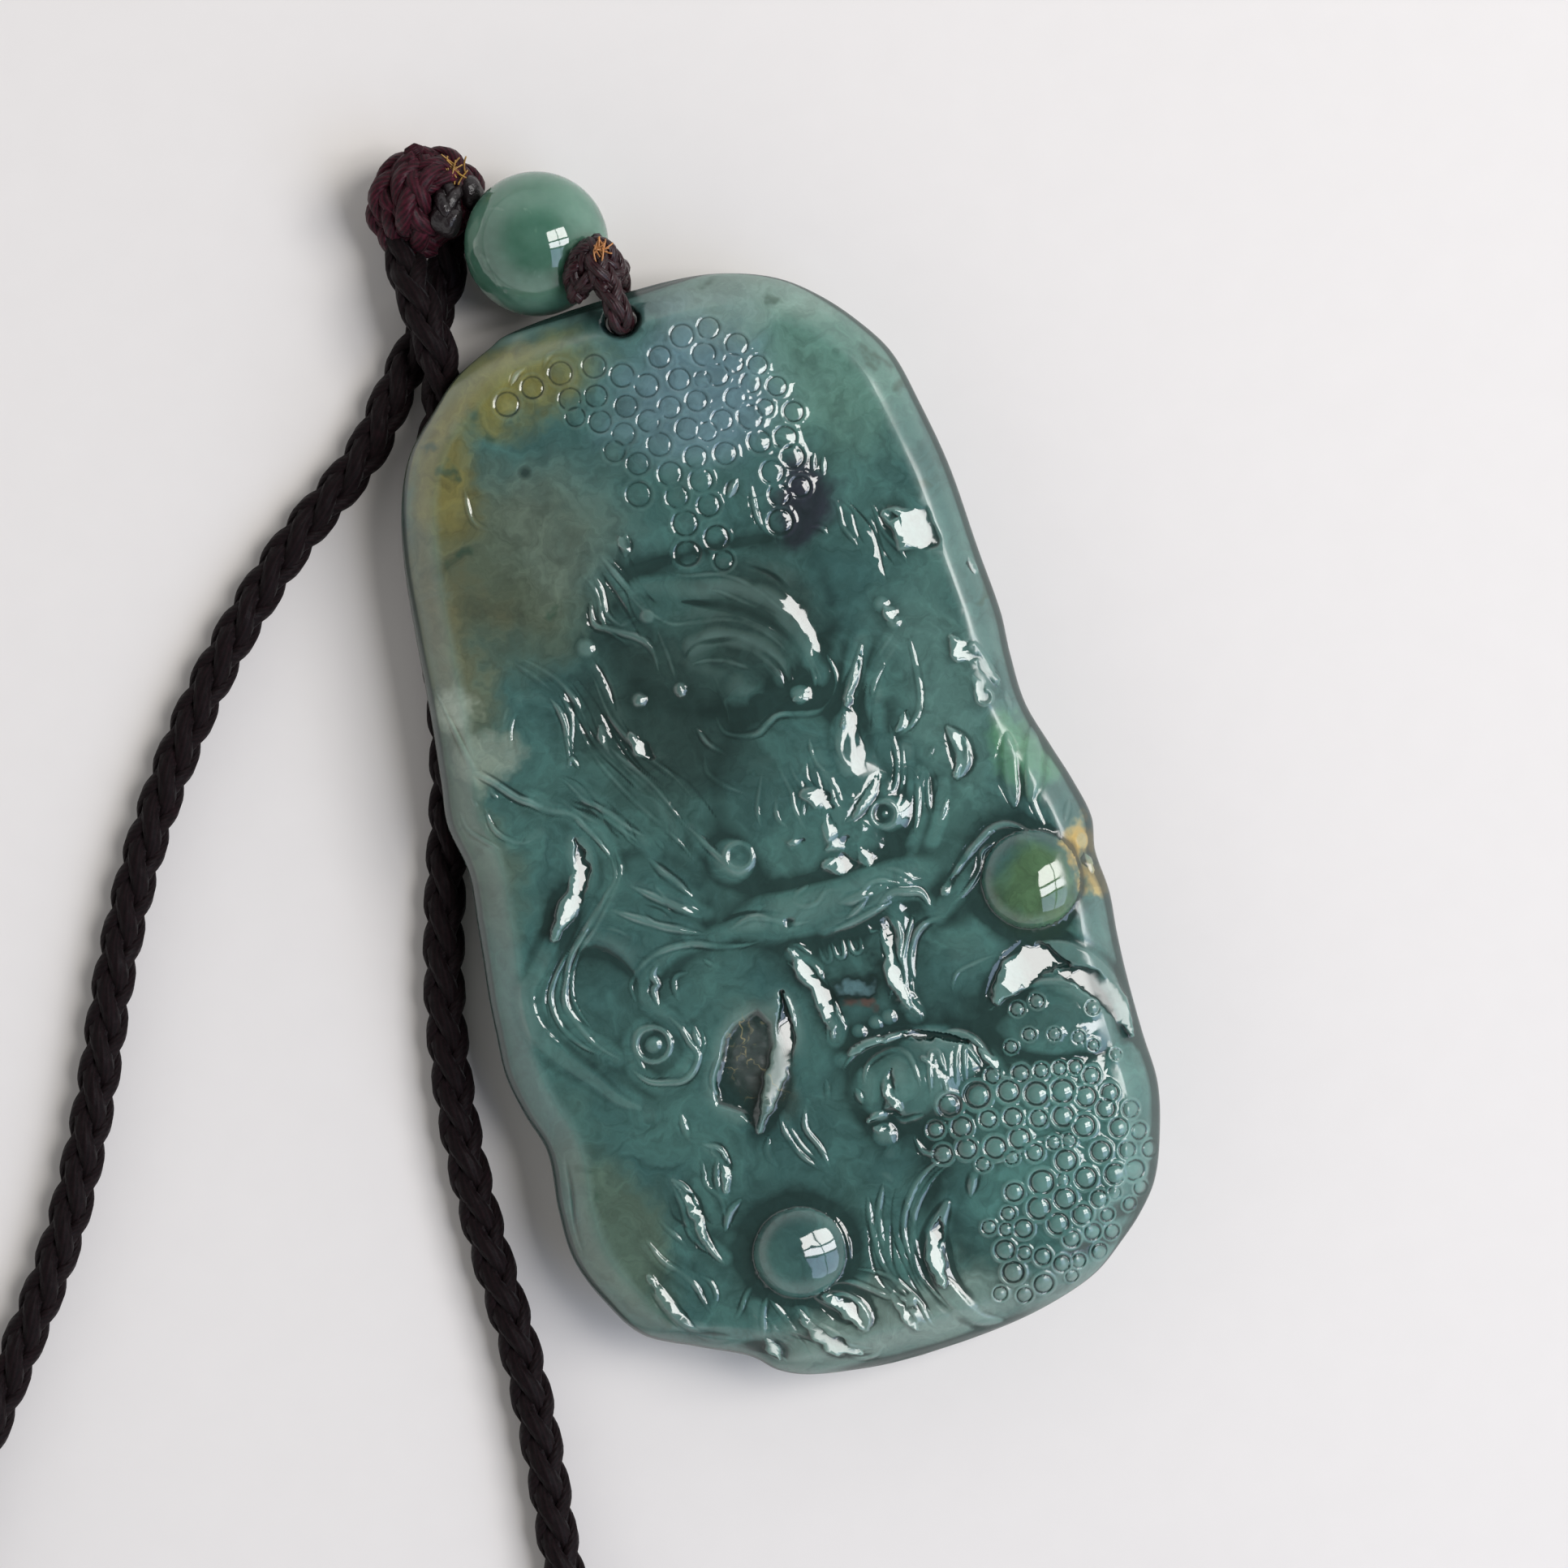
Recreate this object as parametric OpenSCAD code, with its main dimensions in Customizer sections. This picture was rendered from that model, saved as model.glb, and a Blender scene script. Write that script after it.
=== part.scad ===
// A carved jade plaque on a cord, with a jade bead and two knots, lying face up on its flat back.
// The origin is the middle of the flat back, +Y points to the top of the plaque, in millimetres.

/* [Plaque] */
// Width of the plaque at its widest place
plaque_w = 37.3; // [32:0.1:44]
// Length of the plaque from top to bottom
plaque_l = 64.7; // [58:0.1:76]
// Thickness of the plain face, before the carving is counted
face_h = 7; // [6.6:0.1:9]
// How much more the middle of the face bulges
bulge_h = 0.5; // [0:0.1:1.2]
// Height of the rim's outermost line above the flat back
rim_h = 5; // [4.6:0.1:5.6]
// Width of the margin where the face rolls down to the rim
face_roll = 3.5; // [2.5:0.1:5]
// Width of the margin where the back curves up to the rim
back_roll = 9.5; // [8:0.1:10]
// Radius of the small rounding under the rim
under_r = 0.9; // [0.4:0.1:1.4]
// Height that the tallest form of the carving stands above the face
carving_h = 2; // [0.8:0.1:2.6]
// Width of the bare line between the rim and the carving
bare_w = 0.4; // [0.2:0.1:0.8]
// Width over which the carving rises from that line to its full height
carving_fade = 1.6; // [1:0.1:2.4]

/* [Hole and hanging loop] */
// Diameter of the drilled hole
hole_d = 2.1; // [1.9:0.1:2.4]
// Distance from the top of the rim to the middle of the hole
hole_in = 1.7; // [1.6:0.1:2.4]
// Distance of the hole from the middle of the plaque, to the right
hole_x = 0.85; // [0:0.05:2]
// Diameter of the thin cord of the hanging loop and the bead
thin_d = 1.7; // [1.2:0.1:1.7]

/* [Bead] */
// Diameter of the bead
bead_d = 8.5; // [8:0.1:10]
// Diameter of the hole through the bead
bead_hole_d = 2.5; // [2.4:0.1:3]
// Distance of the bead from the middle of the plaque, to the left
bead_x = 2.6; // [2:0.1:3.2]
// Heading of the small knot seen from the bead, clockwise from +X
small_heading = 45; // [40:1:48]
// Angle at which the bead's hole rises towards the small knot
bead_tilt = 30; // [24:1:34]

/* [Knots] */
// Width of the small knot
small_w = 3.2; // [3:0.1:3.4]
// Height of the small knot's middle above the rim's line
small_rise = 2.9; // [2.7:0.1:3.2]
// Width of the button knot
button_w = 7.4; // [7:0.1:7.6]
// Heading of the button knot seen from the bead, anticlockwise from +Y
button_heading = 50; // [46:1:54]

/* [Neck cord] */
// Diameter of the neck cord
neck_d = 2.6; // [2.2:0.1:2.6]

/* [Fit] */
// Room between two pieces that meet
gap = 0.1; // [0.05:0.01:0.2]

/* [Hidden] */
$fn = 48;
through = 1;

half_w = plaque_w / 2;
half_l = plaque_l / 2;
percent = 0.01;

// Outline, from top to bottom: [place along the length, left edge, right edge], the first in
// hundredths of the half length and the others in hundredths of the half width
OUTLINE = [
    [100, 8, 8], [99.2, -28, 31], [97.4, -38, 44], [94.3, -50, 56], [89.6, -60, 66],
    [83.5, -71, 75], [75.7, -78, 83], [65, -83, 87], [52.6, -86, 90], [37, -89, 91],
    [24.7, -92, 92], [17, -94, 91], [7.7, -92, 91], [-1.5, -94, 95], [-7.7, -95.5, 98],
    [-15.5, -97.5, 100.5], [-21.6, -98.5, 98.5], [-29.4, -99.5, 99], [-37, -97.5, 97.5],
    [-45, -94, 96.5], [-55.5, -96, 96], [-65, -96, 96], [-74, -90.5, 92], [-82, -81.5, 86],
    [-87, -65.5, 78.5], [-91, -52, 70], [-95, -44.5, 59.5], [-97.4, -35.5, 47],
    [-99.2, -19, 29.5], [-100, 0, 0]
];
ROW_AT = [for (row = OUTLINE) acos(row[0] * percent)];

// Broad forms: [middle x, middle y, reach x, reach y, rise]. Places and reaches are hundredths
// of the half width and half length, rises are hundredths of carving_h
FORMS = [
    [12, 72, 48, 27, 50],      // scaled neck above the brow
    [8, 38, 36, 17, 55],       // brow
    [7, 25, 14, 9, 50],        // eye
    [24, 22, 7, 4, 25],        // inner corner of the eye
    [17, 2, 30, 20, 75],       // snout
    [38, -4, 9, 5, 35],        // right nostril
    [-10, -4, 10, 5, 35],      // left nostril
    [16, -16, 36, 7, 45],      // upper lip
    [-46, -9, 24, 12, 35],     // locks of the cheek
    [52, -33, 16, 8, 25],      // flank beside the mouth
    [76, -23, 16, 9, 75],      // right pearl
    [-27, -75, 15, 8.5, 70],   // lower pearl
    [26, -51, 25, 9, 50],      // paw
    [60, -72, 42, 28, 65],     // coiled body
    [72, -50, 25, 11, 50],     // upper turn of the body
    [-59, 27, 12, 8, 45],      // left cloud
    [-77, 17, 12, 7, 30],      // outer cloud
    [-52, -31.5, 6, 3.5, 45],  // middle of the scroll
    [75, 45, 12, 7, 30],       // upper bump at the right
    [78, 19, 10, 8, 25],       // lower bump at the right
    [17, -31, 6, 3, 60]        // tongue
];

// Hollows, with the same columns as the broad forms, where the last one is the depth
HOLLOWS = [
    [17, -31.5, 13, 8, 80],    // mouth
    [-23, -40, 13, 10, 45],    // leaf-shaped pocket
    [-62, -19, 12, 9, 25],     // inside of the whisker's bend
    [-15, -60, 26, 5, 30],     // under the folds
    [2, -77, 8, 12, 25]        // beside the belly
];

// Raised strokes: [half width, rise, points]. Half widths and points are hundredths of the half
// width and half length, rises are hundredths of carving_h
STROKES = [
    [4.5, 40, [[-15, 48], [0, 45], [14, 43], [25, 38], [30, 30], [31, 23]]],      // outer brow
    [3.8, 30, [[-4, 35], [5, 35], [15, 32], [20, 27], [20, 22]]],                 // eyelid
    [3.8, 35, [[-13, 42], [-18, 47], [-23, 54]]],                                 // hair tips
    [3.8, 35, [[-19, 39], [-27, 45], [-27, 53]]],
    [4.2, 45, [[47, 27], [39, 19], [32, 11], [32, 6]]],                           // horn
    [4.2, 30, [[60, 27], [48, 20], [44, 11], [47, 2], [41, -1]]],
    [3.4, 40, [[50, 6], [48, -1], [43, -6]]],                                     // right locks
    [3.4, 40, [[52, 1], [49, -6], [43, -11]]],
    [3.2, 35, [[58, -2], [55, -7], [50, -11]]],
    [5.4, 45, [[-56, 7], [-57, 2], [-64, -4], [-77, -12], [-84, -20], [-82, -28], [-70, -37],
               [-60, -43]]],                                                      // whisker
    [4, 40, [[-66, 17], [-55, 12], [-48, 6], [-49, -2], [-61, -9], [-71, -16], [-72, -24],
             [-64, -32]]],
    [3.8, 45, [[-9, -16], [-24, -16], [-40, -17], [-50, -22], [-46, -27], [-40, -32],
               [-43, -37], [-53, -39], [-59, -35], [-58, -30], [-53, -28]]],      // scroll
    [3, 25, [[-69, 26], [-66, 32], [-59, 35], [-50, 32], [-49, 27], [-53, 21]]],  // cloud edges
    [3, 25, [[-88, 17], [-85, 12], [-77, 10], [-66, 11]]],
    [4, 60, [[-1, -23], [3, -28], [5, -35], [4, -40]]],                           // fangs
    [4, 60, [[33, -22], [30, -29], [28, -35], [29, -40]]],
    [3, 35, [[10, -21], [23, -20], [34, -18], [42, -20], [44, -23]]],             // lip
    [4.2, 45, [[45, -24], [56, -20], [64, -15], [73, -13], [82, -16]]],           // right whisker
    [3, 40, [[3, -44], [19, -42], [35, -45], [46, -49], [50, -56]]],              // chin
    [3.6, 35, [[9, -48], [8, -56]]],                                              // fingers
    [3.6, 35, [[19, -48], [16, -55]]],
    [3.6, 35, [[31, -47], [29, -55]]],
    [3.6, 35, [[42, -48], [42, -54]]],
    [4.2, 40, [[9, -57], [9, -62]]],                                              // claw
    [3.2, 40, [[53, -43], [66, -41], [80, -44], [90, -51], [92, -57]]],           // body's edges
    [3.2, 35, [[25, -66], [14, -70], [7, -77], [6, -83]]],
    [4.6, 35, [[21, -74], [14, -81], [14, -90], [23, -96]]],
    [3.2, 30, [[5, -67], [-1, -73], [-3, -79]]],
    [2.8, 25, [[-42, -72], [-35, -68], [-26, -66], [-16, -69], [-12, -74], [-14, -80]]],
    [4.2, 40, [[-26, -83], [-16, -87], [-13, -92]]],                              // petals
    [3.2, 35, [[-32, -85], [-26, -91], [-12, -96]]],
    [3.2, 35, [[-45, -82], [-46, -88], [-42, -93]]],
    [2.8, 30, [[-19, -82], [-9, -84], [-2, -88]]],
    [4, 35, [[0, -88], [1, -93]]],
    [3.2, 40, [[-58, -56], [-55, -62], [-55, -67], [-50, -72]]],                  // leaves
    [2.8, 30, [[-45, -52], [-42, -56], [-45, -61]]],
    [3.2, 35, [[-72, -66], [-68, -70], [-61, -75]]],
    [3.2, 30, [[-75, -72], [-71, -78], [-64, -83]]],
    [3, 40, [[-9, -30], [-9, -36], [-17, -43], [-28, -51]]],                      // pocket's edge
    [2.8, 25, [[-20, -50], [-18, -57], [-14, -62]]],                              // folds
    [2.8, 25, [[-13, -51], [-12, -57], [-10, -62]]],
    [3.2, 25, [[-35, 40], [-32, 29], [-30, 20]]],                                 // left hair
    [3.2, 25, [[-45, -2], [-34, -7], [-24, -12]]],
    [3.2, 25, [[-53, -6], [-40, -11], [-27, -15]]],
    [3.2, 30, [[-21, 4], [-17, -2], [-10, -6]]],
    [3.2, 25, [[-51, 17], [-40, 8], [-34, 1]]],
    [3.2, 25, [[-40, 22], [-29, 11], [-25, 3]]],
    [3.6, 30, [[85, 5], [85, -4], [83, -14]]],                                    // flames
    [3.6, 30, [[92, 2], [93, -6], [89, -14]]],
    [3.2, 20, [[78, 2], [76, -7]]]
];

// Strands of a knot that show, as round lobes: [x, y, z, radius] in hundredths of the knot's
// width from its middle. The first one is the core that the others sit on
BUTTON_LOBES = [
    [0, 0, 0, 34], [6, 30, 4, 17], [-20, 24, 5, 17], [-33, 1, 2, 17], [-29, -22, -3, 17],
    [25, 20, 2, 16], [33, -2, -14, 15], [-13, 5, 21, 19], [11, 13, 19, 16], [7, -13, 17, 15],
    [-12, -19, 12, 16], [-2, -31, -13, 15], [20, -17, -10, 14]
];
SMALL_LOBES = [
    [0, 0, 0, 36], [-26, 8, 0, 23], [-20, -21, 2, 23], [25, 14, 0, 23], [24, -15, 2, 22],
    [0, 33, 3, 22], [3, -27, -1, 22], [0, 3, 17, 25]
];

// Mesh of the plaque: rows along its length, columns across its face and its back
rows = 90;
columns = 56;
row_crowding = 0.35;
column_crowding = 0.3;
BACK_COLUMNS = [0.965, 0.87, 0.66, 0.38, 0, -0.38, -0.66, -0.87, -0.965];

thin_r = thin_d / 2;
neck_r = neck_d / 2;
bead_r = bead_d / 2;

top_y = half_l;
hole_y = top_y - hole_in;
bead_at = [-bead_x, top_y + bead_r + gap, bead_r];

small_z = rim_h + small_rise;
small_reach = bead_r + small_w * 0.46 + gap;
small_up = small_z - bead_r;
small_out = sqrt(small_reach * small_reach - small_up * small_up);
small_at = bead_at + [small_out * cos(small_heading), -small_out * sin(small_heading), small_up];

button_z = button_w * 0.39;
button_reach = bead_r + button_w * 0.39 + gap;
button_up = button_z - bead_r;
button_out = sqrt(button_reach * button_reach - button_up * button_up);
button_at = bead_at
    + [-button_out * sin(button_heading), button_out * cos(button_heading), button_up];

// Middle line of the thin cord from the small knot through the bead to the button knot: straight
// inside the bead, it bends outside the two mouths of the bead's hole
bore_axis = [cos(bead_tilt) * cos(small_heading), -cos(bead_tilt) * sin(small_heading),
             sin(bead_tilt)];
bead_route = [
    small_at + [-0.3, 0.1, -0.1],
    bead_at + bore_axis * (bead_r - 0.1),
    bead_at + bore_axis * (bead_r - 1.6),
    bead_at,
    bead_at - bore_axis * (bead_r - 1.6),
    bead_at - bore_axis * (bead_r - 0.1),
    button_at + (bead_at - button_at) * 0.15
];

// Middle line of the hanging loop: out of the small knot, over the rim, down the hole, under the
// rim and up again to the small knot
loop_route = [
    small_at + [0, -0.6, 0.1],
    [hole_x, top_y - 0.1, small_z + 0.15],
    [hole_x, top_y - 1.1, small_z - 0.2],
    [hole_x, hole_y + 0.05, rim_h + 1.6],
    [hole_x, hole_y + 0.05, rim_h - 0.2],
    [hole_x, hole_y + 0.1, rim_h - 1.8],
    [hole_x + 0.4, top_y - 0.8, rim_h - 3.3],
    [hole_x + 0.9, top_y + 0.4, rim_h - 3.3],
    [hole_x + 1.3, top_y + 1.3, rim_h - 2.1],
    [hole_x + 1.7, top_y + 1.3, rim_h - 0.4],
    [hole_x + 1.7, top_y + 1, rim_h + 1.2],
    small_at + [0.7, 0, -0.2]
];

// Middle line of the neck cord, hand-chosen: two strands twisted under the button knot, one that
// runs down beside the plaque and one that swings out to the left
NECK_ROUTE = [
    [-9.8, 40.9, 2.4], [-10.2, 39.6, 2.4], [-10.4, 38.2, 2.9], [-10.4, 36.8, 3.6],
    [-10.3, 35.5, 4.05], [-10.1, 34.2, 4.2], [-10, 32.9, 4], [-10.1, 31.5, 3.45],
    [-10.5, 29.9, 2.5], [-11.2, 28.3, 1.7], [-12.2, 26.7, 1.35], [-13.2, 24.8, 1.35],
    [-14.1, 22, 1.35], [-14.8, 18, 1.35], [-15.6, 13, 1.35], [-17, 7.6, 1.35],
    [-19.2, 1.6, 1.35], [-21.2, -5, 1.35], [-22.4, -12, 1.35],
    [-22.8, -19, 1.35], [-22.8, -26, 1.35], [-23.4, -33, 1.35], [-24.2, -40, 1.35],
    [-23, -47.6, 1.35], [-18.6, -53.4, 1.35], [-11.6, -56.4, 1.35], [-3.8, -56.8, 1.35],
    [4, -56, 1.35], [11.2, -57.4, 1.35], [16, -62.2, 1.35], [16.2, -68.6, 1.35],
    [12.4, -74, 1.35], [5.6, -76.8, 1.35], [-2.4, -77.4, 1.35], [-10.4, -75.8, 1.35],
    [-18, -72.2, 1.35], [-25.4, -67.8, 1.35], [-33.2, -64.4, 1.35], [-41.4, -63.8, 1.35],
    [-49, -66.6, 1.35], [-56, -71.2, 1.35], [-63.4, -75.4, 1.35], [-71.2, -77, 1.35],
    [-78.4, -74.6, 1.35], [-83.2, -69, 1.35], [-84.6, -61.6, 1.35], [-82.6, -54, 1.35],
    [-78, -48, 1.35], [-73, -43.2, 1.35], [-67, -37.8, 1.35], [-62, -31.4, 1.35],
    [-57.4, -24.6, 1.35], [-52.2, -18, 1.35], [-47, -11.4, 1.35], [-42.8, -4.2, 1.35],
    [-39.2, 3.2, 1.35], [-35, 10.2, 1.35], [-30, 16.6, 1.35], [-25.2, 21.4, 1.35],
    [-21, 24.8, 1.35], [-17.8, 26.8, 1.35], [-15.6, 28.4, 1.35], [-14.1, 30.2, 1.35],
    [-12.7, 31.8, 1.35], [-11.4, 33.2, 1.35], [-10.1, 34.4, 1.35], [-8.9, 35.7, 1.35],
    [-8.1, 37.2, 1.45], [-7.6, 38.6, 1.7], [-7.4, 39.9, 2.1]
];

function clamp01(v) = min(1, max(0, v));
function dot(a, b) = a * b;
function unit(v) = v / norm(v);

// Smooth curve through all points, with a number of steps between two of them
function catmull(a, b, c, d, t) =
    0.5 * ((2 * b) + (c - a) * t + (2 * a - 5 * b + 4 * c - d) * t * t
    + (3 * b - a - 3 * c + d) * t * t * t);
function curve(points, steps) =
    let (last = len(points) - 1)
    concat(
        [for (i = [0 : last - 1], k = [0 : steps - 1])
            catmull(points[max(0, i - 1)], points[i], points[i + 1], points[min(last, i + 2)],
                    k / steps)],
        [points[last]]);

// Round tube along a line: a closed solid with flat ends
module tube(line, r, sides, side_ref) {
    last = len(line) - 1;
    rings = [for (i = [0 : last])
        let (
            along = unit(line[min(last, i + 1)] - line[max(0, i - 1)]),
            side = unit(cross(along, side_ref)),
            up = cross(side, along)
        )
        for (k = [0 : sides - 1])
            line[i] + r * (cos(360 * k / sides) * side + sin(360 * k / sides) * up)];
    walls = [for (i = [0 : last - 1], k = [0 : sides - 1])
        let (a = i * sides + k, b = i * sides + (k + 1) % sides)
        [a, b, b + sides, a + sides]];
    start_cap = [[for (k = [sides - 1 : -1 : 0]) k]];
    end_cap = [[for (k = [0 : sides - 1]) last * sides + k]];
    polyhedron(rings, concat(walls, start_cap, end_cap), convexity = 8);
}

// Left or right edge of the plaque (column 1 or 2 of the outline) at a place along its length
function edge_in(turn, side, i) =
    let (
        last = len(OUTLINE) - 1,
        h = ROW_AT[i + 1] - ROW_AT[i],
        t = (turn - ROW_AT[i]) / h,
        before = max(0, i - 1),
        after = min(last, i + 2),
        slope_a = (OUTLINE[i + 1][side] - OUTLINE[before][side]) / (ROW_AT[i + 1] - ROW_AT[before]),
        slope_b = (OUTLINE[after][side] - OUTLINE[i][side]) / (ROW_AT[after] - ROW_AT[i])
    )
    (2 * t * t * t - 3 * t * t + 1) * OUTLINE[i][side] + (t * t * t - 2 * t * t + t) * h * slope_a
    + (3 * t * t - 2 * t * t * t) * OUTLINE[i + 1][side] + (t * t * t - t * t) * h * slope_b;
function edge_row(turn) = max([for (i = [0 : len(ROW_AT) - 2]) if (ROW_AT[i] <= turn) i]);
function edge_x(y, side) =
    let (turn = acos(min(1, max(-1, y / half_l))))
    half_w * percent * edge_in(turn, side, edge_row(turn));

// Evenly spaced places from 1 to -1, crowded towards both ends
function spread(share, crowding) =
    crowding * cos(180 * share) + (1 - crowding) * (1 - 2 * share);

// Distance from the rim at a place in a row that runs from left to right
function rim_distance(x, y, left, right, lean) =
    let (
        across = max(0.0001, min(x - left, right - x)) * lean,
        along = max(0.0001, half_l - abs(y))
    )
    1 / sqrt(1 / (across * across) + 1 / (along * along));

function quarter(share) = sqrt(1 - pow(1 - clamp01(share), 2));
function back_z(d) =
    (rim_h - under_r) * pow(1 - clamp01(d / back_roll), 2) + under_r * (1 - quarter(d / under_r));

function mound(x, y, form) =
    let (
        dx = (x - form[0]) / form[2],
        dy = (y - form[1]) / form[3],
        r = dx * dx + dy * dy
    )
    r < 1 ? form[4] * pow(1 - r, 0.75) : 0;

function to_segment(p, a, b) =
    let (t = clamp01(dot(p - a, b - a) / dot(b - a, b - a)))
    norm(p - a - t * (b - a));
function to_curve(p, line) = min([for (i = [0 : len(line) - 2]) to_segment(p, line[i], line[i + 1])]);

// Strokes as [line, half width, rise, low x, high x, low y, high y] in millimetres and shares
LINES = [for (stroke = STROKES)
    let (
        line = curve([for (p = stroke[2]) [p[0] * half_w, p[1] * half_l] * percent], 3),
        wide = stroke[0] * half_w * percent
    )
    [line, wide, stroke[1], min([for (p = line) p[0]]) - wide, max([for (p = line) p[0]]) + wide,
     min([for (p = line) p[1]]) - wide, max([for (p = line) p[1]]) + wide]];

function stroke_rise(p, s) =
    p[0] < s[3] || p[0] > s[4] || p[1] < s[5] || p[1] > s[6]
    ? 0
    : let (share = to_curve(p, s[0]) / s[1]) share < 1 ? s[2] * (1 - share * share) : 0;

function carving(x, y) =
    let (sx = x / half_w / percent, sy = y / half_l / percent)
    max([for (form = FORMS) mound(sx, sy, form)])
    + max([for (s = LINES) stroke_rise([x, y], s)])
    - max([for (hollow = HOLLOWS) mound(sx, sy, hollow)]);

function face_z(x, y, d) =
    let (
        swell = max(0, 1 - pow(x / half_w, 2) - pow(y / half_l, 2)),
        plain = face_h - rim_h + bulge_h * swell,
        carved = carving_h * percent * carving(x, y) * clamp01((d - bare_w) / carving_fade)
    )
    rim_h + plain * quarter(d / face_roll) + carved;

module plaque_body() {
    row_y = [for (k = [1 : rows - 1]) half_l * spread(k / rows, row_crowding)];
    ring = columns + 1 + len(BACK_COLUMNS);
    points = [for (y = row_y)
        let (
            left = edge_x(y, 1),
            right = edge_x(y, 2),
            middle = (left + right) / 2,
            half = (right - left) / 2,
            step = 0.2,
            slope = (edge_x(y - step, 2) - edge_x(y + step, 2)
                     - edge_x(y - step, 1) + edge_x(y + step, 1)) / 4 / step,
            lean = 1 / sqrt(1 + slope * slope)
        )
        each concat(
            [for (j = [0 : columns])
                let (
                    x = middle - half * spread(j / columns, column_crowding),
                    d = rim_distance(x, y, left, right, lean)
                )
                [x, y, j == 0 || j == columns ? rim_h : face_z(x, y, d)]],
            [for (share = BACK_COLUMNS)
                let (x = middle + half * share)
                [x, y, back_z(rim_distance(x, y, left, right, lean))]])];
    count = len(points);
    top = count;
    bottom = count + 1;
    walls = [for (i = [0 : rows - 3], j = [0 : ring - 1])
        let (a = i * ring + j, b = i * ring + (j + 1) % ring)
        each [[a, b, b + ring], [a, b + ring, a + ring]]];
    first = [for (j = [0 : ring - 1]) [top, (j + 1) % ring, j]];
    last = [for (j = [0 : ring - 1])
        let (base = (rows - 2) * ring)
        [bottom, base + j, base + (j + 1) % ring]];
    ends = [
        [edge_x(half_l, 1), half_l, rim_h],
        [edge_x(-half_l, 1), -half_l, rim_h]
    ];
    polyhedron(concat(points, ends), concat(walls, first, last), convexity = 10);
}

module plaque() {
    color([0.36, 0.5, 0.47])
    difference() {
        plaque_body();
        translate([hole_x, hole_y, -through])
            cylinder(d = hole_d, h = face_h + bulge_h + carving_h + 2 * through);
    }
}

// Round lobe with flat facets: bands of points between two poles
module lobe_body(r, sides, bands) {
    rings = [for (i = [1 : bands - 1], k = [0 : sides - 1])
        let (down = 180 * i / bands, turn = 360 * (k + i / 2) / sides)
        r * [sin(down) * cos(turn), sin(down) * sin(turn), cos(down)]];
    top = len(rings);
    bottom = top + 1;
    walls = [for (i = [0 : bands - 3], k = [0 : sides - 1])
        let (a = i * sides + k, b = i * sides + (k + 1) % sides)
        each [[a, b, a + sides], [b, b + sides, a + sides]]];
    first = [for (k = [0 : sides - 1]) [top, (k + 1) % sides, k]];
    last = [for (k = [0 : sides - 1])
        let (base = (bands - 2) * sides)
        [bottom, base + k, base + (k + 1) % sides]];
    polyhedron(concat(rings, [[0, 0, r], [0, 0, -r]]), concat(walls, first, last), convexity = 2);
}

module knot_body(lobes, width) {
    for (lobe = lobes)
        translate([lobe[0], lobe[1], lobe[2]] * width * percent)
            lobe_body(lobe[3] * width * percent, 10, 5);
}

// Room that a knot takes out of the cords that enter it
module knot_room(lobes, width) {
    for (lobe = lobes)
        translate([lobe[0], lobe[1], lobe[2]] * width * percent)
            sphere(r = lobe[3] * width * percent + gap);
}

module hanging_loop() {
    color([0.24, 0.11, 0.15])
    difference() {
        tube(curve(loop_route, 3), thin_r, 10, [1, 0.1, 0]);
        translate(small_at) knot_room(SMALL_LOBES, small_w);
    }
}

module small_knot() {
    color([0.24, 0.11, 0.15])
    translate(small_at) knot_body(SMALL_LOBES, small_w);
}

module bead() {
    color([0.47, 0.64, 0.56])
    translate(bead_at)
        difference() {
            sphere(d = bead_d);
            rotate([0, 90 - bead_tilt, -small_heading])
                cylinder(d = bead_hole_d, h = bead_d + 2 * through, center = true);
        }
}

module bead_cord() {
    color([0.24, 0.11, 0.15])
    difference() {
        tube(curve(bead_route, 3), thin_r, 10, [0, 0, 1]);
        translate(small_at) knot_room(SMALL_LOBES, small_w);
        translate(button_at) knot_room(BUTTON_LOBES, button_w);
    }
}

module button_knot() {
    color([0.2, 0.1, 0.13])
    translate(button_at) knot_body(BUTTON_LOBES, button_w);
}

module neck_cord() {
    color([0.16, 0.1, 0.12])
    difference() {
        tube(NECK_ROUTE, neck_r, 8, [0, 0, 1]);
        translate(button_at) knot_room(BUTTON_LOBES, button_w);
    }
}

plaque();
hanging_loop();
small_knot();
bead();
bead_cord();
button_knot();
neck_cord();
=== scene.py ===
import math
import bpy
import numpy as np
from mathutils import Matrix, Vector


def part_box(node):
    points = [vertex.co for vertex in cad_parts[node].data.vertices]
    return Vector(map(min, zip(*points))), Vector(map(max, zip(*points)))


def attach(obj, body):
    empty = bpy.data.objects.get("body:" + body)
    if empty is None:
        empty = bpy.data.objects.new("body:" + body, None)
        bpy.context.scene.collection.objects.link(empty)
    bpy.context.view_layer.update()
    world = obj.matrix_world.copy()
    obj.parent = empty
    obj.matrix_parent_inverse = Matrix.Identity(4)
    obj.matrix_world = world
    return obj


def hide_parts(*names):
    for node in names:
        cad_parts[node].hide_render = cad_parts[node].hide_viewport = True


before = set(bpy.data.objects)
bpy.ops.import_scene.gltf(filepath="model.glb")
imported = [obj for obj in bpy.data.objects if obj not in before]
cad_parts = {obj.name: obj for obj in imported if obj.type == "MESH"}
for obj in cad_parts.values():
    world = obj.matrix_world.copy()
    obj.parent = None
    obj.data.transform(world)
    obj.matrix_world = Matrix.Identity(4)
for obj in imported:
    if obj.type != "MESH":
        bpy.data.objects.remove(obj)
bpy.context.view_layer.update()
mm = 0.001  # every size below is in millimetres unless it says otherwise
print("frame loaded:", len(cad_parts), "nodes")


# small tools that every piece uses

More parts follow.
